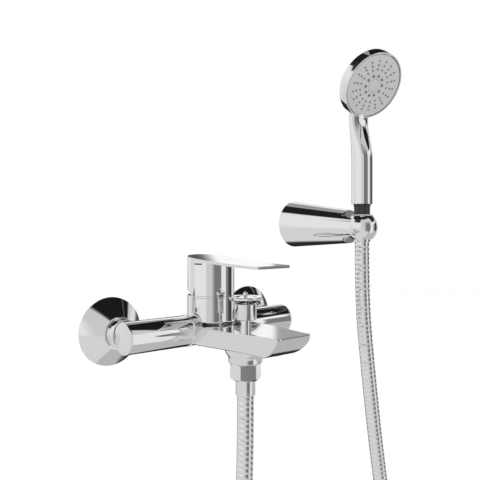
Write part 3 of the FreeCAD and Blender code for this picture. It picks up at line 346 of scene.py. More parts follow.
def combined(name, base, tools, bevel=0.0, bevel_angle=35, bevel_steps=3):
    """Cut, join or intersect closed shapes, round the edges, and return one plain mesh."""
    for tool, operation in tools:
        modifier = base.modifiers.new("shape", "BOOLEAN")
        modifier.operation = operation
        modifier.object = tool
        modifier.solver = "EXACT"
    if bevel:
        rim = base.modifiers.new("rim", "BEVEL")
        rim.width = bevel * MM
        rim.segments = bevel_steps
        rim.limit_method = "ANGLE"
        rim.angle_limit = math.radians(bevel_angle)
        rim.harden_normals = False
    deps = bpy.context.evaluated_depsgraph_get()
    mesh = bpy.data.meshes.new_from_object(base.evaluated_get(deps))
    mesh.name = name
    for item in [base] + [tool for tool, _ in tools]:
        bpy.data.objects.remove(item)
    return mesh


def weigh_faces(piece):
    """Let the large flat faces keep flat reflections beside their rounded rims."""
    modifier = piece.modifiers.new("flat_faces", "WEIGHTED_NORMAL")
    modifier.keep_sharp = True
    deps = bpy.context.evaluated_depsgraph_get()
    mesh = bpy.data.meshes.new_from_object(piece.evaluated_get(deps))
    piece.modifiers.clear()
    old = piece.data
    piece.data = mesh
    mesh.name = old.name
    return piece


def shape_tree(name, inputs):
    """A node tree for one repeated form, with its sizes as named inputs."""
    tree = bpy.data.node_groups.new(name, "GeometryNodeTree")
    tree.interface.new_socket("Geometry", in_out="INPUT", socket_type="NodeSocketGeometry")
    tree.interface.new_socket("Geometry", in_out="OUTPUT", socket_type="NodeSocketGeometry")
    for label, kind, value in inputs:
        socket = tree.interface.new_socket(label, in_out="INPUT", socket_type=kind)
        socket.default_value = value
    return tree, tree.nodes.new("NodeGroupInput"), tree.nodes.new("NodeGroupOutput")


def tree_result(name, tree, base, values):
    """Run a tree on a base shape and return its plain mesh."""
    modifier = base.modifiers.new("form", "NODES")
    modifier.node_group = tree
    for item in tree.interface.items_tree:
        if item.in_out == "INPUT" and item.name in values:
            modifier[item.identifier] = values[item.name]
    base.update_tag()
    deps = bpy.context.evaluated_depsgraph_get()
    mesh = bpy.data.meshes.new_from_object(base.evaluated_get(deps))
    mesh.name = name
    bpy.data.objects.remove(base)
    return mesh


def math_node(tree, operation, *values):
    node = tree.nodes.new("ShaderNodeMath")
    node.operation = operation
    for index, value in enumerate(values):
        if isinstance(value, (int, float)):
            node.inputs[index].default_value = value
        else:
            tree.links.new(value, node.inputs[index])
    return node.outputs[0]


# The mixer

def add_inlets():
    """Rosettes, union nuts and the threaded unions behind the wall."""
    for side, sign in SIDES:
        place = shifted(INLET_SPACING / 2 * sign, 0, 0) @ OUT_OF_WALL
        lathe(f"rosette_{side}_cone", [
            (26.6, 0),
            (28.2, 0, 0.2),
            (28.2, 1.1, 0.5),
            (13.4, 14.7, 0.5),
            (13.0, 15.0, 0.2),
            (9.85, 15.0, 0.2),
            (9.85, 13.6),
            (12.1, 13.6),
            (26.6, 1.2),
        ], CHROME, "mixer", place=place, steps=128, hides=[f"rosette_{side}"])
        lathe(f"union_nut_{side}_ring", [
            (9.85, 15.35),
            (12.2, 15.35, 0.6),
            (12.2, 26.05, 0.6),
            (11.05, 26.05, 0.2),
            (11.05, 17.9),
            (9.85, 17.9),
        ], CHROME, "mixer", place=place, hides=[f"union_nut_{side}"])
        thread = [(INLET_BORE, -16.0)]
        pitch = 1.814
        root, crest = 9.35, 10.38
        for turn in range(8):
            start = -15.6 + turn * pitch
            thread += [(root, start), (crest, start + pitch * 0.5, 0.15)]
        thread += [
            (root, -1.0),
            (9.7, -0.9),
            (9.7, 18.0),
            (10.85, 18.0, 0.2),
            (10.85, 20.5, 0.2),
            (INLET_BORE, 20.5),
        ]
        lathe(f"wall_union_{side}_thread", thread, BRASS, "mixer", place, 64,
              [f"wall_union_{side}"])


def add_tubes():
    """Side tubes with their branches, flat end caps and the thin seam rings."""
    for side, sign in SIDES:
        turn = turned_about("Y", 90 * sign)
        place = shifted(0, -AXIS_OUT, 0) @ turn
        bm = bmesh.new()
        lathe_into(bm, [
            (TUBE_BORE, SEAM_PLACE + 0.05),
            (TUBE_RADIUS, SEAM_PLACE + 0.05, 0.15),
            (TUBE_RADIUS, TUBE_END - 1.65, 0.1),
            (TUBE_BORE, TUBE_END - 1.65),
        ], place, 128)
        branch = shifted(INLET_SPACING / 2 * sign, -AXIS_OUT, 0) @ turned_about("X", -90)
        lathe_into(bm, [
            (INLET_BORE, 11.5),
            (9.0, 11.5),
            (9.0, 13.05),
            (10.9, 13.05, 0.2),
            (10.9, 16.7),
            (INLET_BORE, 16.7),
        ], branch, 96)
        mesh = mesh_from(bm, f"side_tube_{side}")
        add_piece(f"side_tube_{side}", mesh, CHROME, "mixer", 32, [f"tube_{side}"])
        lathe(f"end_cap_{side}_disc", [
            (0, TUBE_END - 6.0),
            (10.2, TUBE_END - 6.0),
            (10.2, TUBE_END - 1.6),
            (TUBE_RADIUS, TUBE_END - 1.6, 0.1),
            (TUBE_RADIUS, TUBE_END, 0.7),
            (0, TUBE_END),
        ], CHROME, "mixer", place=place, steps=128, hides=[f"end_cap_{side}"])
    bm = bmesh.new()
    for _, sign in SIDES:
        lathe_into(bm, [
            (TUBE_BORE, SEAM_PLACE - 0.75),
            (TUBE_RADIUS - 0.2, SEAM_PLACE - 1.5),
            (TUBE_RADIUS + 0.7, SEAM_PLACE - 0.9, 0.5),
            (TUBE_RADIUS + 0.7, SEAM_PLACE + 0.1, 0.5),
            (TUBE_RADIUS - 0.2, SEAM_PLACE + 0.6),
            (TUBE_BORE, SEAM_PLACE),
        ], shifted(0, -AXIS_OUT, 0) @ turned_about("Y", 90 * sign), 128)
    mesh = mesh_from(bm, "seam_bands")
    add_piece("seam_bands", mesh, CHROME, "mixer", 32, ["seam_rings"])


def ease(share):
    """A smooth step from 0 to 1."""
    share = min(max(share, 0.0), 1.0)
    return share * share * (3 - 2 * share)


def arc_between(start, end, radius, steps):
    """Points of the short arc between two points, its centre on the right of the way from start to end."""
    start, end = Vector(start), Vector(end)
    chord = end - start
    across = Vector((chord.y, -chord.x)).normalized()
    centre = (start + end) / 2 + across * math.sqrt(radius ** 2 - chord.length_squared / 4)
    first, last = start - centre, end - centre
    sweep = first.angle(last)
    points = []
    for step in range(steps + 1):
        share = step / steps
        spoke = first * math.sin((1 - share) * sweep) + last * math.sin(share * sweep)
        points.append(tuple(centre + spoke / math.sin(sweep)))
    return points


def spout_section(out):
    """The spout's half widths at top and bottom and its underside, at a distance from the tube's axis."""
    top = SPOUT_ROOT - (SPOUT_ROOT - SPOUT_HALF) * ease((out - 45.0) / 50.0)
    bottom = SPOUT_ROOT - (SPOUT_ROOT - SPOUT_KEEL) * ease(out / 60.0)
    under = SPOUT_BOTTOM
    if out > NOSE_START:
        run = SPOUT_REACH - NOSE_START
        climb = SPOUT_LIP - SPOUT_BOTTOM
        chord = math.hypot(run, climb)
        rise = math.sqrt(NOSE_RADIUS ** 2 - chord ** 2 / 4)
        centre_out = (SPOUT_REACH + NOSE_START) / 2 - climb / chord * rise
        centre_up = (SPOUT_LIP + SPOUT_BOTTOM) / 2 + run / chord * rise
        under = centre_up - math.sqrt(NOSE_RADIUS ** 2 - (out - centre_out) ** 2)
        under = min(under, SPOUT_LIP - 0.1)
        bottom += (top - bottom) * (under - SPOUT_BOTTOM) / climb
    into_corner = max(out - (SPOUT_REACH - SPOUT_CORNER), 0)
    trimmed = SPOUT_CORNER - math.sqrt(max(SPOUT_CORNER ** 2 - into_corner ** 2, 0))
    return top - trimmed, bottom - trimmed, under


def spout_into(bm):
    """Loft the spout through closely spaced sections, with softly rounded long edges."""
    front = SPOUT_REACH - SPOUT_CORNER
    stations = [NOSE_START * index / 40 for index in range(41)]
    stations += [NOSE_START + (front - NOSE_START) * index / 14 for index in range(1, 15)]
    stations += [front + SPOUT_CORNER * math.sin(math.radians(9 * index)) for index in range(1, 11)]
    rings = []
    for index, out in enumerate(stations):
        top, bottom, under = spout_section(out)
        inset = 0.3 if index == len(stations) - 1 else 0.0
        out -= 0.02 if index == len(stations) - 1 else 0.0
        lower = min(3.2, (SPOUT_LIP - under) * 0.3 + 0.05)
        outline = rounded([
            (-top + inset, SPOUT_TOP - inset, 0.35),
            (top - inset, SPOUT_TOP - inset, 0.35),
            (top - inset, SPOUT_LIP + inset * 0.3, 0.2),
            (bottom - inset, under, lower),
            (-bottom + inset, under, lower),
            (-top + inset, SPOUT_LIP + inset * 0.3, 0.2),
        ], 5)
        ring = []
        for point in outline:
            ring.append(bm.verts.new(Vector((point.x, -AXIS_OUT - out, point.y)) * MM))
        rings.append(ring)
    for ring, following in zip(rings, rings[1:]):
        for index in range(len(ring)):
            after = (index + 1) % len(ring)
            bm.faces.new((ring[index], ring[after], following[after], following[index]))
    bm.faces.new(rings[0])
    bm.faces.new(rings[-1])


def add_casting():
    """The body: centre tube, column with its cove, spout with a rounded nose, and the hose boss."""
    centre = bmesh.new()
    root = SPOUT_ROOT
    lathe_into(centre, [(0, -root), (TUBE_RADIUS, -root), (TUBE_RADIUS, root), (0, root)],
               shifted(0, -AXIS_OUT, 0) @ turned_about("Y", 90), 128)
    spout = bmesh.new()
    spout_into(spout)
    column = bmesh.new()
    cove = arc_between((COLUMN_RADIUS + 3.2, SPOUT_TOP - 0.05), (COLUMN_RADIUS, SPOUT_TOP + 3.2), 3.2, 8)
    lathe_into(column, [
        (0, SPOUT_TOP - 6),
        (COLUMN_RADIUS + 3.2, SPOUT_TOP - 6),
        *cove,
        (COLUMN_RADIUS, COLUMN_TOP - 1.65, 0.15),
        (POCKET_RADIUS, COLUMN_TOP - 1.65),
        (POCKET_RADIUS, 9),
        (0, 9),
    ], shifted(0, -AXIS_OUT, 0), 160)
    boss = bmesh.new()
    flare = arc_between((17.0, SPOUT_BOTTOM + 0.4), (13.8, BOSS_BOTTOM + 4.9), 12, 8)
    lathe_into(boss, [
        (0, 1),
        (15.0, 1),
        *flare,
        (13.65, BOSS_BOTTOM + 3),
        (13.6, BOSS_BOTTOM, 0.6),
        (6.5, BOSS_BOTTOM),
        (6.5, BOSS_BOTTOM + 6),
        (0, BOSS_BOTTOM + 6),
    ], shifted(0, -DIVERTER_OUT, 0), 128)
    joined = bmesh.new()
    for bm in (centre, spout, column, boss):
        joined.from_mesh(mesh_from(bm, "part"))
    casting = bpy.data.meshes.new("casting")
    joined.to_mesh(casting)
    joined.free()
    piece = add_piece("casting", casting, SOFT_CHROME, "mixer", 38, ["mixer_body"])
    weigh_faces(piece)


def add_column_trim():
    lathe("column_trim", [
        (17.75, COLUMN_TOP - 1.6),
        (COLUMN_RADIUS, COLUMN_TOP - 1.6, 0.1),
        (COLUMN_RADIUS, COLUMN_TOP, 0.12),
        (17.75, COLUMN_TOP),
    ], CHROME, "mixer", place=shifted(0, -AXIS_OUT, 0), steps=160, hides=["column_ring"])


def add_lever():
    """The lever: drum with its cut-back heel, and the thin sloping plate."""
    skirt = COLUMN_TOP + 0.1
    reach = COLUMN_RADIUS + 1
    drum = bmesh.new()
    lathe_into(drum, [
        (17.4, skirt - 3),
        (COLUMN_RADIUS, skirt - 3),
        (COLUMN_RADIUS, 64),
        (0, 64),
        (0, 55.3),
        (17.4, 55.3),
    ], shifted(0, -AXIS_OUT, 0), 160)
    side = bmesh.new()
    under = LEVER_HEIGHT - LEVER_THICKNESS * 0.5
    to_side = shifted(0, -AXIS_OUT, 0) @ Matrix(((0, 0, 1, 0), (1, 0, 0, 0), (0, 1, 0, 0), (0, 0, 0, 1)))
    prism_into(side, [
        (-reach, skirt),
        (0, skirt),
        (reach, skirt + 9.8),
        (reach, under + LEVER_SLOPE * reach),
        (-reach, under - LEVER_SLOPE * reach),
    ], -30, 30, to_side)
    cap = combined("lever_cap", loose_object("drum", drum),
                   [(loose_object("cap_side", side), "INTERSECT")], 0.12, 40, 2)
    plan = bmesh.new()
    half = LEVER_WIDTH / 2
    arc = []
    for step in range(49):
        angle = math.pi * step / 48
        arc.append((COLUMN_RADIUS * math.cos(angle), COLUMN_RADIUS * math.sin(angle)))
    prism_into(plan, arc + [(-half, -LEVER_REACH, 2.0), (half, -LEVER_REACH, 2.0)], -30, 90,
               shifted(0, -AXIS_OUT, 0))
    blade = bmesh.new()
    upper = []
    hollow_middle, hollow_half = -30, 50
    for step in range(25):
        along = -90 + 5.0 * step
        sag = LEVER_HOLLOW * (1 - ((along - hollow_middle) / hollow_half) ** 2)
        upper.append((along, LEVER_HEIGHT + LEVER_SLOPE * along - min(max(sag, 0), LEVER_HOLLOW)))
    lower = [(along, height - LEVER_THICKNESS) for along, height in upper]
    prism_into(blade, lower + upper[::-1], -30, 30, to_side)
    plate = combined("lever_plate", loose_object("plan", plan),
                     [(loose_object("blade", blade), "INTERSECT")], 0.45, 40, 3)
    joined = bmesh.new()
    joined.from_mesh(cap)
    joined.from_mesh(plate)
    lathe_into(joined, [(0, 39), (8, 39, 0.5), (8, 56), (0, 56)], shifted(0, -AXIS_OUT, 0), 64)
    mesh = bpy.data.meshes.new("lever_shell")
    bmesh.ops.recalc_face_normals(joined, faces=joined.faces)
    joined.to_mesh(mesh)
    joined.free()
    piece = add_piece("lever_shell", mesh, CHROME, "lever_handle", 38, ["lever"])
    weigh_faces(piece)
    add_lever_plate_shadow()


def add_lever_plate_shadow():
    """A dark strip in the cap right under the plate, a painted shadow of the plate's overhang, bent to the
    cap's own curve.
    """
    plate_shadow = bmesh.new()
    outer, inner = COLUMN_RADIUS + 0.02, COLUMN_RADIUS - 0.9
    outline = []
    for radius, angles in ((outer, range(-11, 12)), (inner, range(11, -12, -1))):
        for angle in angles:
            turn = math.radians(200 + angle)
            outline.append((radius * math.cos(turn), radius * math.sin(turn)))
    low = LEVER_HEIGHT - 6.3
    prism_into(plate_shadow, outline, low, low + 1.1, shifted(0, -AXIS_OUT, 0))
    mesh = mesh_from(plate_shadow, "lever_mark")
    # Painted shadow: black plastic where the plate's overhang shades the cap, in place of the solid strip.
    add_piece("lever_mark", mesh, BLACK_PLASTIC, "lever_handle", 32, ["lever_marker"])


def add_diverter():
    """The pull-up diverter's knob, stem and guide bush."""
    place = shifted(0, -DIVERTER_OUT, 0)
    lathe("diverter_pull_knob", [
        (0, 11.9),
        (9.0, 11.9, 0.5),
        (9.0, 24.6, 0.8),
        (10.2, 26.0, 0.8),
        (13.1, 28.0, 0.6),
        (13.6, 29.9, 0.35),
        (13.1, 30.3, 0.4),
        (9.5, 30.2, 2.0),
        (1.9, 31.35, 0.3),
        (1.75, 33.3, 0.4),
        (1.1, 34.0, 0.4),
        (0, 34.0),
    ], CHROME, "diverter", place=place, steps=128, hides=["diverter_knob"])
    lathe("diverter_rod", [
        (0, -18.4),
        (2.2, -18.4),
        (2.2, -1.8),
        (4.6, -1.8),
        (4.6, 11.9),
        (0, 11.9),
    ], CHROME, "diverter", place=place, hides=["diverter_stem"])
    lathe("diverter_collar", [
        (4.65, -1.8),
        (7.2, -1.8),
        (7.2, SPOUT_TOP + 0.02, 0.2),
        (4.65, SPOUT_TOP + 0.02, 0.1),
    ], CHROME, "mixer", place=place, hides=["diverter_bush"])


def add_return_spring():
    """The diverter's spring, a fixed copy of its solid on the mixer body."""
    source = bpy.data.objects["diverter_spring"]
    mesh = source.data.copy()
    mesh.transform(source.matrix_world)
    spring = add_piece("return_spring", mesh, STEEL, "mixer", 40, ["diverter_spring"])
    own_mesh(spring)


def add_hose_outlet():
    """Hexagon nut and ferrule under the boss."""
    place = shifted(0, -DIVERTER_OUT, 0)
    corner = 22.0 / math.sqrt(3)
    nut_top = BOSS_BOTTOM - 0.3
    nut_bottom = -36.3
    hexagon = bmesh.new()
    points = []
    for index in range(6):
        angle = math.radians(30 + 60 * index)
        points.append((corner * math.cos(angle), corner * math.sin(angle), 0.5))
    prism_into(hexagon, points, nut_bottom, nut_top, place, 3)
    blank = bmesh.new()
    lathe_into(blank, [
        (8.0, nut_bottom),
        (corner - 2.9, nut_bottom, 0.3),
        (corner + 0.1, nut_bottom + 2.1),
        (corner + 0.1, nut_top - 1.3),
        (corner - 2.0, nut_top, 0.3),
        (10.3, nut_top),
        (10.3, -32.6),
        (8.0, -32.6),
    ], place, 128)
    mesh = combined("hexagon", loose_object("hexagon", hexagon),
                    [(loose_object("blank", blank), "INTERSECT")])
    piece = add_piece("hose_hexagon", mesh, CHROME, "mixer", 30, ["hose_nut"])
    weigh_faces(piece)
    lathe("hose_sleeve", [
        (4.0, HOSE_START),
        (7.85, HOSE_START, 0.8),
        (7.85, -32.7),
        (9.9, -32.7),
        (9.9, -30.7),
        (4.0, -30.7),
    ], CHROME, "mixer", place=place, hides=["hose_ferrule"])


# The hose

def hose_point(across, up):
    """A point of the hose's own upright plane, which runs through its two ends."""
    lean = (-BALL_OUT + DIVERTER_OUT) / BRACKET_ACROSS
    return Vector((across, -DIVERTER_OUT + lean * across, up)) * MM


def hose_line():
    """The hose's centreline as closely spaced points of one smooth spline."""
    curve = bpy.data.curves.new("hose_line", "CURVE")
    curve.dimensions = "3D"
    curve.resolution_u = 24
    spline = curve.splines.new("NURBS")
    spline.points.add(len(HOSE_ROUTE) - 1)
    for point, (across, up) in zip(spline.points, HOSE_ROUTE):
        point.co = (*hose_point(across, up), 1)
    spline.order_u = 3
    spline.use_endpoint_u = True
    line = bpy.data.objects.new("hose_line", curve)
    bpy.context.collection.objects.link(line)
    deps = bpy.context.evaluated_depsgraph_get()
    mesh = bpy.data.meshes.new_from_object(line.evaluated_get(deps))
    points = [vertex.co.copy() for vertex in mesh.vertices]
    bpy.data.objects.remove(line)
    return points


def hose_tree():
    """Ribs along a line: the radius dips in a narrow groove between one rib and the next."""
    tree, source, result = shape_tree("hose_ribs", [
        ("Radius", "NodeSocketFloat", HOSE_RADIUS * MM),
        ("Groove", "NodeSocketFloat", 0.75 * MM),
        ("Pitch", "NodeSocketFloat", 4.38 * MM),
        ("Step", "NodeSocketFloat", 0.5 * MM),
        ("Finish", "NodeSocketMaterial", None),
    ])
    resample = tree.nodes.new("GeometryNodeResampleCurve")
    resample.mode = "LENGTH"
    tree.links.new(source.outputs["Geometry"], resample.inputs["Curve"])
    tree.links.new(source.outputs["Step"], resample.inputs["Length"])
    place = tree.nodes.new("GeometryNodeSplineParameter")
    turns = math_node(tree, "DIVIDE", place.outputs["Length"], source.outputs["Pitch"])
    wave = math_node(tree, "ABSOLUTE", math_node(tree, "SINE", math_node(tree, "MULTIPLY", turns, math.pi)))
    crest = math_node(tree, "POWER", wave, 0.35)
    dip = math_node(tree, "MULTIPLY", math_node(tree, "SUBTRACT", 1.0, crest), source.outputs["Groove"])
    radius = math_node(tree, "SUBTRACT", source.outputs["Radius"], dip)
    swell = tree.nodes.new("GeometryNodeSetCurveRadius")
    tree.links.new(resample.outputs["Curve"], swell.inputs["Curve"])
    tree.links.new(radius, swell.inputs["Radius"])
    circle = tree.nodes.new("GeometryNodeCurvePrimitiveCircle")
    circle.inputs["Resolution"].default_value = 28
    circle.inputs["Radius"].default_value = 1.0
    sweep = tree.nodes.new("GeometryNodeCurveToMesh")
    sweep.inputs["Fill Caps"].default_value = True
    tree.links.new(swell.outputs["Curve"], sweep.inputs["Curve"])
    tree.links.new(circle.outputs["Curve"], sweep.inputs["Profile Curve"])
    if "Scale" in sweep.inputs:
        tree.links.new(radius, sweep.inputs["Scale"])
    realize = tree.nodes.new("GeometryNodeRealizeInstances")
    paint = tree.nodes.new("GeometryNodeSetMaterial")
    tree.links.new(sweep.outputs["Mesh"], realize.inputs["Geometry"])
    tree.links.new(realize.outputs["Geometry"], paint.inputs["Geometry"])
    tree.links.new(source.outputs["Finish"], paint.inputs["Material"])
    tree.links.new(paint.outputs["Geometry"], result.inputs["Geometry"])
    return tree


def ribbed_tube(name, tree, points, radius):
    curve = bpy.data.curves.new(name, "CURVE")
    curve.dimensions = "3D"
    spline = curve.splines.new("POLY")
    spline.points.add(len(points) - 1)
    for point, place in zip(spline.points, points):
        point.co = (*place, 1)
    base = bpy.data.objects.new(name, curve)
    bpy.context.collection.objects.link(base)
    mesh = tree_result(name, tree, base, {"Radius": radius * MM, "Finish": HOSE_CHROME})
    bm = bmesh.new()
    bm.from_mesh(mesh)
    return mesh_from(bm, name)


def add_hose():
    """The long hose, and the stretch of it that comes up with the hand shower when it is lifted out."""
    points = hose_line()
    tree = hose_tree()
    mesh = ribbed_tube("shower_hose", tree, points, HOSE_RADIUS)
    hose = add_piece("shower_hose", mesh, HOSE_CHROME, None, 50,
                     ["hose_left", "hose_lower", "hose_right"])
    kept = [point for point in points if point.z > 0.006]
    mesh = ribbed_tube("lifted_hose", tree, kept, HOSE_RADIUS - 0.9)
    lifted = add_piece("lifted_hose", mesh, HOSE_CHROME, "hand_shower", 50)
    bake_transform(hose)


# The wall bracket and its holder

def add_bracket():
    """The skewed conical cover, ending in a mouth that fits round the ball."""
    bm = bmesh.new()
    steps = 160
    rows = 20
    ball = Vector((BRACKET_ACROSS, -BALL_OUT, BALL_HEIGHT))
    seat = BALL_RADIUS + 0.3
    wall_radius, nose_radius, nose_out = 23.7, 14.6, 86.5
    rings = [[] for _ in range(rows + 4)]
    for step in range(steps):
        angle = 2 * math.pi * step / steps
        spoke = Vector((math.cos(angle), 0, math.sin(angle)))
        wall = Vector((BRACKET_ACROSS, 0, BRACKET_HEIGHT)) + spoke * wall_radius
        nose = Vector((BRACKET_ACROSS, -nose_out, BALL_HEIGHT)) + spoke * nose_radius
        line = nose - wall
        a = line.length_squared
        b = 2 * line.dot(wall - ball)
        c = (wall - ball).length_squared - seat * seat
        meets = (-b - math.sqrt(max(b * b - 4 * a * c, 0))) / (2 * a)
        for row in range(rows + 1):
            rings[row].append(bm.verts.new((wall + line * (meets * row / rows)) * MM))
        lip = wall + line * meets
        inward = lip - ball
        for extra, shrink in enumerate((0.8, 0.45, 0.05)):
            spot = Vector((inward.x * shrink, inward.y, inward.z * shrink))
            spot.y = math.sqrt(max(seat * seat - spot.x ** 2 - spot.z ** 2, 0))
            rings[rows + 1 + extra].append(bm.verts.new((ball + spot) * MM))
    for ring, following in zip(rings, rings[1:]):
        for step in range(steps):
            after = (step + 1) % steps
            bm.faces.new((ring[step], ring[after], following[after], following[step]))
    bm.faces.new(rings[0])
    bm.faces.new(rings[-1])
    slot = bmesh.new()
    half, back, front = 12.2, -73.3, -103.3
    low, high = 46.2, 126.2
    prism_into(slot, [(-half, back), (-half, front), (half, front), (half, back)], low, high,
               shifted(BRACKET_ACROSS, 0, 0))
    cover = loose_object("cover", bm)
    mesh = combined("bracket_cover", cover, [(loose_object("neck_slot", slot), "DIFFERENCE")])
    add_piece("bracket_cover", mesh, CHROME, "mixer", 30, ["bracket_cone"])


def add_holder():
    """The ball holder with its tapered hole and thin liner."""
    place = shifted(BRACKET_ACROSS, -BALL_OUT, BALL_HEIGHT)
    outline = []
    steps = 40
    top, bottom = 10.96, -11.55
    start, end = math.asin(bottom / BALL_RADIUS), math.asin(top / BALL_RADIUS)
    for step in range(steps + 1):
        angle = start + (end - start) * step / steps
        outline.append((BALL_RADIUS * math.cos(angle), BALL_RADIUS * math.sin(angle)))
    lathe("holder_bead", outline, CHROME, "shower_holder", place=place, steps=160, hides=["holder_ball_cup"],
          sharp=40)
    lathe("holder_sleeve", [
        (8.15, -11.2),
        (8.95, -11.2),
        (9.5, 10.6),
        (10.2, 11.1, 0.2),
        (10.0, 11.8, 0.2),
        (8.7, 11.8, 0.2),
    ], GREY_PLASTIC, "shower_holder", place, hides=["holder_liner"])


# The hand shower

def handle_section(height):
    """Half width, half depth, setback and lean of the handle at a height."""
    neck = ease((height - NECK_START) / NECK_RISE)
    entry = ease((height - HEAD_START) / HEAD_RISE)
    half_width = HANDLE_RADIUS * (1 + 0.12 * neck + 0.55 * entry)
    half_depth = HANDLE_RADIUS * (1 - 0.46 * neck)
    return half_width, half_depth, 4.7 * neck - 7.0 * entry, 10 * neck + (HEAD_TILT - 10) * entry


def handle_place(height, angle, inset=0.0):
    """A point on the handle; the angle runs from its front, positive to the right."""
    half_width, half_depth, setback, lean = handle_section(height)
    across = (half_width - inset) * math.sin(angle)
    along = -(half_depth - inset) * math.cos(angle)
    tilt = math.radians(lean)
    spot = Vector((across, setback + along * math.cos(tilt), height + along * math.sin(tilt)))
    return HANDSET @ (spot * MM)


def parting(height):
    """The angle of the strip's edge from the handle's front."""
    bend, second_bend, last = 152, 175, 189
    straight_depth, bend_depth = -8.65, -2.9
    height = min(height, last)
    if height <= bend:
        depth = straight_depth
    elif height <= second_bend:
        depth = straight_depth + 5.75 * (height - bend) / (second_bend - bend)
    else:
        depth = bend_depth + 2.4 * (height - second_bend) / 11
    _, half_depth, setback, _ = handle_section(height)
    return math.acos(min(max((setback - depth) / half_depth, -1), 1))


def handle_shell(name, heights, span, steps, hides):
    """A closed stretch of the handle's wall between two angles at each height."""
    bm = bmesh.new()
    wall = 2.4
    rows = []
    for height in heights:
        low, high = span(height)
        outer = []
        inner = []
        for step in range(steps + 1):
            angle = low + (high - low) * step / steps
            outer.append(bm.verts.new(handle_place(height, angle)))
            inner.append(bm.verts.new(handle_place(height, angle, wall)))
        rows.append(outer + inner[::-1])
    count = len(rows[0])
    for row, following in zip(rows, rows[1:]):
        for index in range(count):
            after = (index + 1) % count
            bm.faces.new((row[index], row[after], following[after], following[index]))
    for row in (rows[0], rows[-1]):
        half = count // 2
        for index in range(half - 1):
            bm.faces.new((row[index], row[index + 1], row[count - 2 - index], row[count - 1 - index]))
    return add_piece(name, mesh_from(bm, name), CHROME, "hand_shower", 40, hides)


def add_handle():
    """The grip: rear shell and the front strip that widens into the neck."""
    lower = [HANDLE_BOTTOM + index * 5 for index in range(9)]
    upper = [NECK_START + index for index in range(40)]
    gap = 0.035

    def rear(height):
        edge = parting(height) + gap
        return edge, 2 * math.pi - edge

    def front(height):
        edge = parting(height) - gap
        return -edge, edge

    heights = lower + upper + [HEAD_START + index * 1.5 for index in range(13)]
    handle_shell("handle_front_strip", heights, front, 40, ["handle_strip"])
    handle_shell("handle_rear", heights, rear, 88, ["handset_shell"])


def add_head():
    """The head's domed back with its rim, the matt face and the centre disc."""
    lathe("head_back", [
        (0, -14.6),
        (9.0, -14.2, 6),
        (19.0, -13.1, 10),
        (27.5, -11.6, 8),
        (31.0, -10.2, 1.2),
        (32.0, -8.8, 1.0),
        (31.4, 0.5, 0.6),
        (30.15, 0.5, 0.25),
        (30.15, -3.7),
        (0, -3.7),
    ], CHROME, "hand_shower", place=HEAD, steps=160, sharp=36)
    lathe("spray_plate", [
        (6.35, -3.0),
        (FACE_RADIUS, -3.0),
        (FACE_RADIUS, 0.0, 0.5),
        (6.35, 0.0, 0.15),
    ], GREY_PLASTIC, "hand_shower", HEAD, 160, ["spray_face"])
    lathe("centre_button", [
        (0, -3.0),
        (6.2, -3.0),
        (6.2, 0.05, 0.3),
        (0, 0.25),
    ], GREY_PLASTIC, "hand_shower", HEAD, 96, ["face_centre"])


def nozzle_tree():
    """Nozzles standing evenly round one ring."""
    tree, source, result = shape_tree("nozzle_ring", [
        ("Count", "NodeSocketInt", 18),
        ("Ring", "NodeSocketFloat", 20 * MM),
        ("Radius", "NodeSocketFloat", 0.85 * MM),
        ("Rise", "NodeSocketFloat", NOZZLE_RISE * MM),
        ("Turn", "NodeSocketFloat", 0.0),
        ("Finish", "NodeSocketMaterial", None),
    ])
    circle = tree.nodes.new("GeometryNodeMeshCircle")
    tree.links.new(source.outputs["Count"], circle.inputs["Vertices"])
    tree.links.new(source.outputs["Ring"], circle.inputs["Radius"])
    turn = tree.nodes.new("GeometryNodeTransform")
    angle = tree.nodes.new("ShaderNodeCombineXYZ")
    tree.links.new(source.outputs["Turn"], angle.inputs["Z"])
    tree.links.new(circle.outputs["Mesh"], turn.inputs["Geometry"])
    tree.links.new(angle.outputs["Vector"], turn.inputs["Rotation"])
    cone = tree.nodes.new("GeometryNodeMeshCone")
    cone.inputs["Vertices"].default_value = 16
    cone.inputs["Side Segments"].default_value = 1
    tree.links.new(source.outputs["Radius"], cone.inputs["Radius Bottom"])
    tree.links.new(math_node(tree, "MULTIPLY", source.outputs["Radius"], 0.72), cone.inputs["Radius Top"])
    tree.links.new(source.outputs["Rise"], cone.inputs["Depth"])
    stand = tree.nodes.new("GeometryNodeInstanceOnPoints")
    tree.links.new(turn.outputs["Geometry"], stand.inputs["Points"])
    tree.links.new(cone.outputs["Mesh"], stand.inputs["Instance"])
    realize = tree.nodes.new("GeometryNodeRealizeInstances")
    paint = tree.nodes.new("GeometryNodeSetMaterial")
    tree.links.new(stand.outputs["Instances"], realize.inputs["Geometry"])
    tree.links.new(realize.outputs["Geometry"], paint.inputs["Geometry"])
    tree.links.new(source.outputs["Finish"], paint.inputs["Material"])
    tree.links.new(paint.outputs["Geometry"], result.inputs["Geometry"])
    return tree


def add_nozzles():
    """Three rings of small nozzles and one of large ones."""
    tree = nozzle_tree()
    sets = (
        ("small_nozzles", "nozzles_outer", 0.85, (0.79, 0.667, 0.524), 18, 0.0),
        ("large_nozzles", "nozzles_inner", 1.35, (0.32,), 10, 0.25),
    )
    for name, node, radius, shares, count, turn in sets:
        bm = bmesh.new()
        for share in shares:
            base = bpy.data.objects.new(name, bpy.data.meshes.new(name))
            bpy.context.collection.objects.link(base)
            ring = tree_result(name, tree, base, {
                "Count": count,
                "Ring": FACE_RADIUS * share * MM,
                "Radius": radius * MM,
                "Rise": NOZZLE_RISE * MM,
                "Turn": 2 * math.pi * turn / count,
                "Finish": NOZZLE_RUBBER,
            })
            bm.from_mesh(ring)
        bmesh.ops.transform(bm, matrix=HEAD, verts=bm.verts)
        mesh = mesh_from(bm, name)
        add_piece(name, mesh, NOZZLE_RUBBER, "hand_shower", 30, [node])


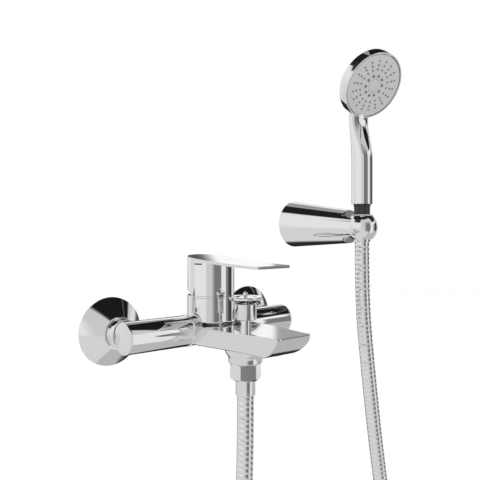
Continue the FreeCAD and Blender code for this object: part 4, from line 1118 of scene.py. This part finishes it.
def add_handle_end():
    """The dark neck and the hose's cone nut below the grip."""
    lathe("dark_neck", [
        (4.0, 97.5),
        (7.5, 97.5, 0.3),
        (7.5, 105.4, 0.2),
        (8.0, 105.8, 0.2),
        (8.0, HANDLE_BOTTOM),
        (4.0, HANDLE_BOTTOM),
    ], BLACK_PLASTIC, "hand_shower", HANDSET, hides=["handset_neck"])
    lathe("hose_cone", [
        (4.0, HOSE_TOP),
        (7.7, HOSE_TOP, 0.4),
        (8.5, 96.0, 0.4),
        (4.0, 96.0),
    ], CHROME, "hand_shower", place=HANDSET, hides=["hose_cone_nut"])
    lathe("inner_water_tube", [
        (4.5, HANDLE_BOTTOM),
        (5.3, HANDLE_BOTTOM),
        (5.3, NECK_START),
        (4.5, NECK_START),
    ], WHITE_PLASTIC, "hand_shower", HANDSET, hides=["water_tube"])


# Studio

CAMERA_AZIMUTH = 40.7
CAMERA_PLACE = (-0.3255, -0.4559, 0.0843)


def add_camera():
    data = bpy.data.cameras.new("camera")
    data.lens = 46.2
    data.sensor_width = 36
    data.shift_y = -0.0227
    data.clip_start = 0.01
    camera = bpy.data.objects.new("camera", data)
    camera.location = CAMERA_PLACE
    camera.rotation_euler = (math.radians(90), 0, math.radians(-CAMERA_AZIMUTH))
    bpy.context.collection.objects.link(camera)
    bpy.context.scene.camera = camera


# Soft panels and dark cards round the object, as its polished metal sees them: bearing from and to,
# counted from the camera's side to the right, height above the horizon from and to, shade, softness
PANELS = (
    ("floor_left", -180, 45, -90, -14, 0.86, 8),
    ("floor_right", 45, 180, -90, -14, 0.74, 6),
    ("left_wall", -180, -20, -12, 44, 0.93, 6),
    ("left_shade", -116, -84, -18, 8, 0.87, 12),
    ("zenith", -180, 180, 58, 90, 0.12, 5),
    ("ceiling", 78, 168, 25, 91, 0.12, 3),
    ("left_ceiling", 208, 330, 46, 91, 0.14, 2),
    ("column_shade", -82, -24, 33, 60, 0.2, 4),
    ("back_ceiling", 168, 208, 37, 91, 0.62, 3),
    ("ceiling_streak", 95, 165, 36, 39, 0.36, 2),
    ("front_shade", 15, 55, -30, 30, 0.48, 11),
    ("right_window", 55, 82, -36, 26, 0.93, 1.5),
    ("upper_window", 78, 100, 0, 25, 0.98, 2),
    ("right_card", 82, 98, -14, 13, 0.50, 1.5),
    ("dark_card", 98, 126, -14, 16, 0.26, 1.5),
    ("slim_window", 126, 153, -14, 16, 0.9, 1.5),
    ("far_card", 153, 176, -12, 34, 0.33, 2),
    ("back_dark", 158, 213, -50, -5, 0.18, 5),
    ("back_window", 169, 192, 5, 36, 0.97, 2),
    ("lever_wedge", 168, 176.8, -3, 13.5, 0.64, 0.5),
    ("lever_white", 176.8, 182.3, -4, 22, 1.0, 0.4),
    ("lever_shade", 182.3, 204, -2, 20, 0.36, 1.0),
)


def stepped(tree, value, edge, softness):
    """A soft step of a value over an edge."""
    step = tree.nodes.new("ShaderNodeMapRange")
    step.interpolation_type = "SMOOTHSTEP"
    step.inputs["From Min"].default_value = edge - softness
    step.inputs["From Max"].default_value = edge + softness
    tree.links.new(value, step.inputs["Value"])
    return step.outputs["Result"]


def add_world():
    """White behind the object, and a studio of panels for what the metal reflects."""
    world = bpy.data.worlds.new("studio")
    bpy.context.scene.world = world
    world.use_nodes = True
    tree = world.node_tree
    tree.nodes.clear()
    place = tree.nodes.new("ShaderNodeTexCoord")
    turn = tree.nodes.new("ShaderNodeVectorRotate")
    turn.rotation_type = "Z_AXIS"
    turn.inputs["Angle"].default_value = math.radians(CAMERA_AZIMUTH + 90)
    tree.links.new(place.outputs["Generated"], turn.inputs["Vector"])
    parts = tree.nodes.new("ShaderNodeSeparateXYZ")
    tree.links.new(turn.outputs["Vector"], parts.inputs["Vector"])
    degree = 180 / math.pi
    bearing = math_node(tree, "MULTIPLY", math_node(tree, "ARCTAN2", parts.outputs["Y"], parts.outputs["X"]),
                        degree)
    whole_turn = math_node(tree, "FLOORED_MODULO", bearing, 360.0)
    height = math_node(tree, "MULTIPLY", math_node(tree, "ARCSINE", parts.outputs["Z"]), degree)
    level = 0.82
    for _, left, right, low, high, brightness, softness in PANELS:
        sideways = whole_turn if right > 180 else bearing
        share = math_node(tree, "SUBTRACT", stepped(tree, height, low, softness),
                          stepped(tree, height, high, softness))
        if right - left < 360:
            across = math_node(tree, "SUBTRACT", stepped(tree, sideways, left, softness),
                               stepped(tree, sideways, right, min(softness, 3)))
            share = math_node(tree, "MULTIPLY", share, across)
        change = math_node(tree, "MULTIPLY", share, math_node(tree, "SUBTRACT", brightness, level))
        level = math_node(tree, "ADD", level, change)
    display_power = 2.2
    level = math_node(tree, "POWER", level, display_power)
    colour = tree.nodes.new("ShaderNodeCombineColor")
    for part in ("Red", "Green", "Blue"):
        tree.links.new(level, colour.inputs[part])
    seen = tree.nodes.new("ShaderNodeBackground")
    tree.links.new(colour.outputs["Color"], seen.inputs["Color"])
    soft = tree.nodes.new("ShaderNodeBackground")
    soft.inputs["Color"].default_value = (1, 1, 1, 1)
    soft.inputs["Strength"].default_value = 1.08
    white = tree.nodes.new("ShaderNodeBackground")
    white.inputs["Color"].default_value = (1, 1, 1, 1)
    white.inputs["Strength"].default_value = 1.0
    ray = tree.nodes.new("ShaderNodeLightPath")
    shine = tree.nodes.new("ShaderNodeMixShader")
    tree.links.new(ray.outputs["Is Glossy Ray"], shine.inputs["Fac"])
    tree.links.new(soft.outputs["Background"], shine.inputs[1])
    tree.links.new(seen.outputs["Background"], shine.inputs[2])
    direct = math_node(tree, "MAXIMUM", ray.outputs["Is Camera Ray"], ray.outputs["Is Transmission Ray"])
    whole = tree.nodes.new("ShaderNodeMixShader")
    tree.links.new(direct, whole.inputs["Fac"])
    tree.links.new(shine.outputs["Shader"], whole.inputs[1])
    tree.links.new(white.outputs["Background"], whole.inputs[2])
    end = tree.nodes.new("ShaderNodeOutputWorld")
    tree.links.new(whole.outputs["Shader"], end.inputs["Surface"])


def add_floor():
    """A pale floor below the hanging hose."""
    mesh = bpy.data.meshes.new("floor")
    half = 6.0
    level = -0.56
    corners = [(-half, -half, level), (half, -half, level), (half, half, level), (-half, half, level)]
    mesh.from_pydata(corners, [], [(0, 1, 2, 3)])
    floor = bpy.data.objects.new("floor", mesh)
    bpy.context.collection.objects.link(floor)
    material, _, shader = new_material("pale_floor")
    shader.inputs["Base Color"].default_value = (0.97, 0.97, 0.97, 1)
    shader.inputs["Roughness"].default_value = 0.8
    mesh.materials.append(material)
    floor.visible_glossy = False


def add_lamp(name, place, aim, size, power):
    data = bpy.data.lights.new(name, "AREA")
    data.shape = "SQUARE"
    data.size = size
    data.energy = power
    lamp = bpy.data.objects.new(name, data)
    lamp.location = place
    lamp.rotation_euler = (Vector(aim) - Vector(place)).to_track_quat("-Z", "Y").to_euler()
    lamp.visible_glossy = False
    bpy.context.collection.objects.link(lamp)


def add_studio():
    add_camera()
    add_world()
    add_floor()
    add_lamp("key", (-0.9, -1.0, 1.1), (0.05, -0.08, 0.05), 0.9, 5)
    add_lamp("fill", (0.9, -1.2, 0.3), (0.05, -0.08, 0.05), 0.9, 2)
    bpy.context.scene.view_settings.view_transform = "Standard"


def hide_from_shine(*starts):
    """Keep the pieces whose names start so out of what the polished surfaces reflect."""
    for thing in bpy.data.objects:
        if thing.name.startswith(starts):
            thing.visible_glossy = False


finish_solids()
add_studio()
add_hose()
add_inlets()
add_tubes()
add_casting()
add_column_trim()
add_lever()
add_diverter()
add_return_spring()
add_hose_outlet()
add_bracket()
add_holder()
add_handle()
add_head()
add_nozzles()
add_handle_end()
hide_from_shine("bracket_cover", "shower_hose", "lifted_hose")
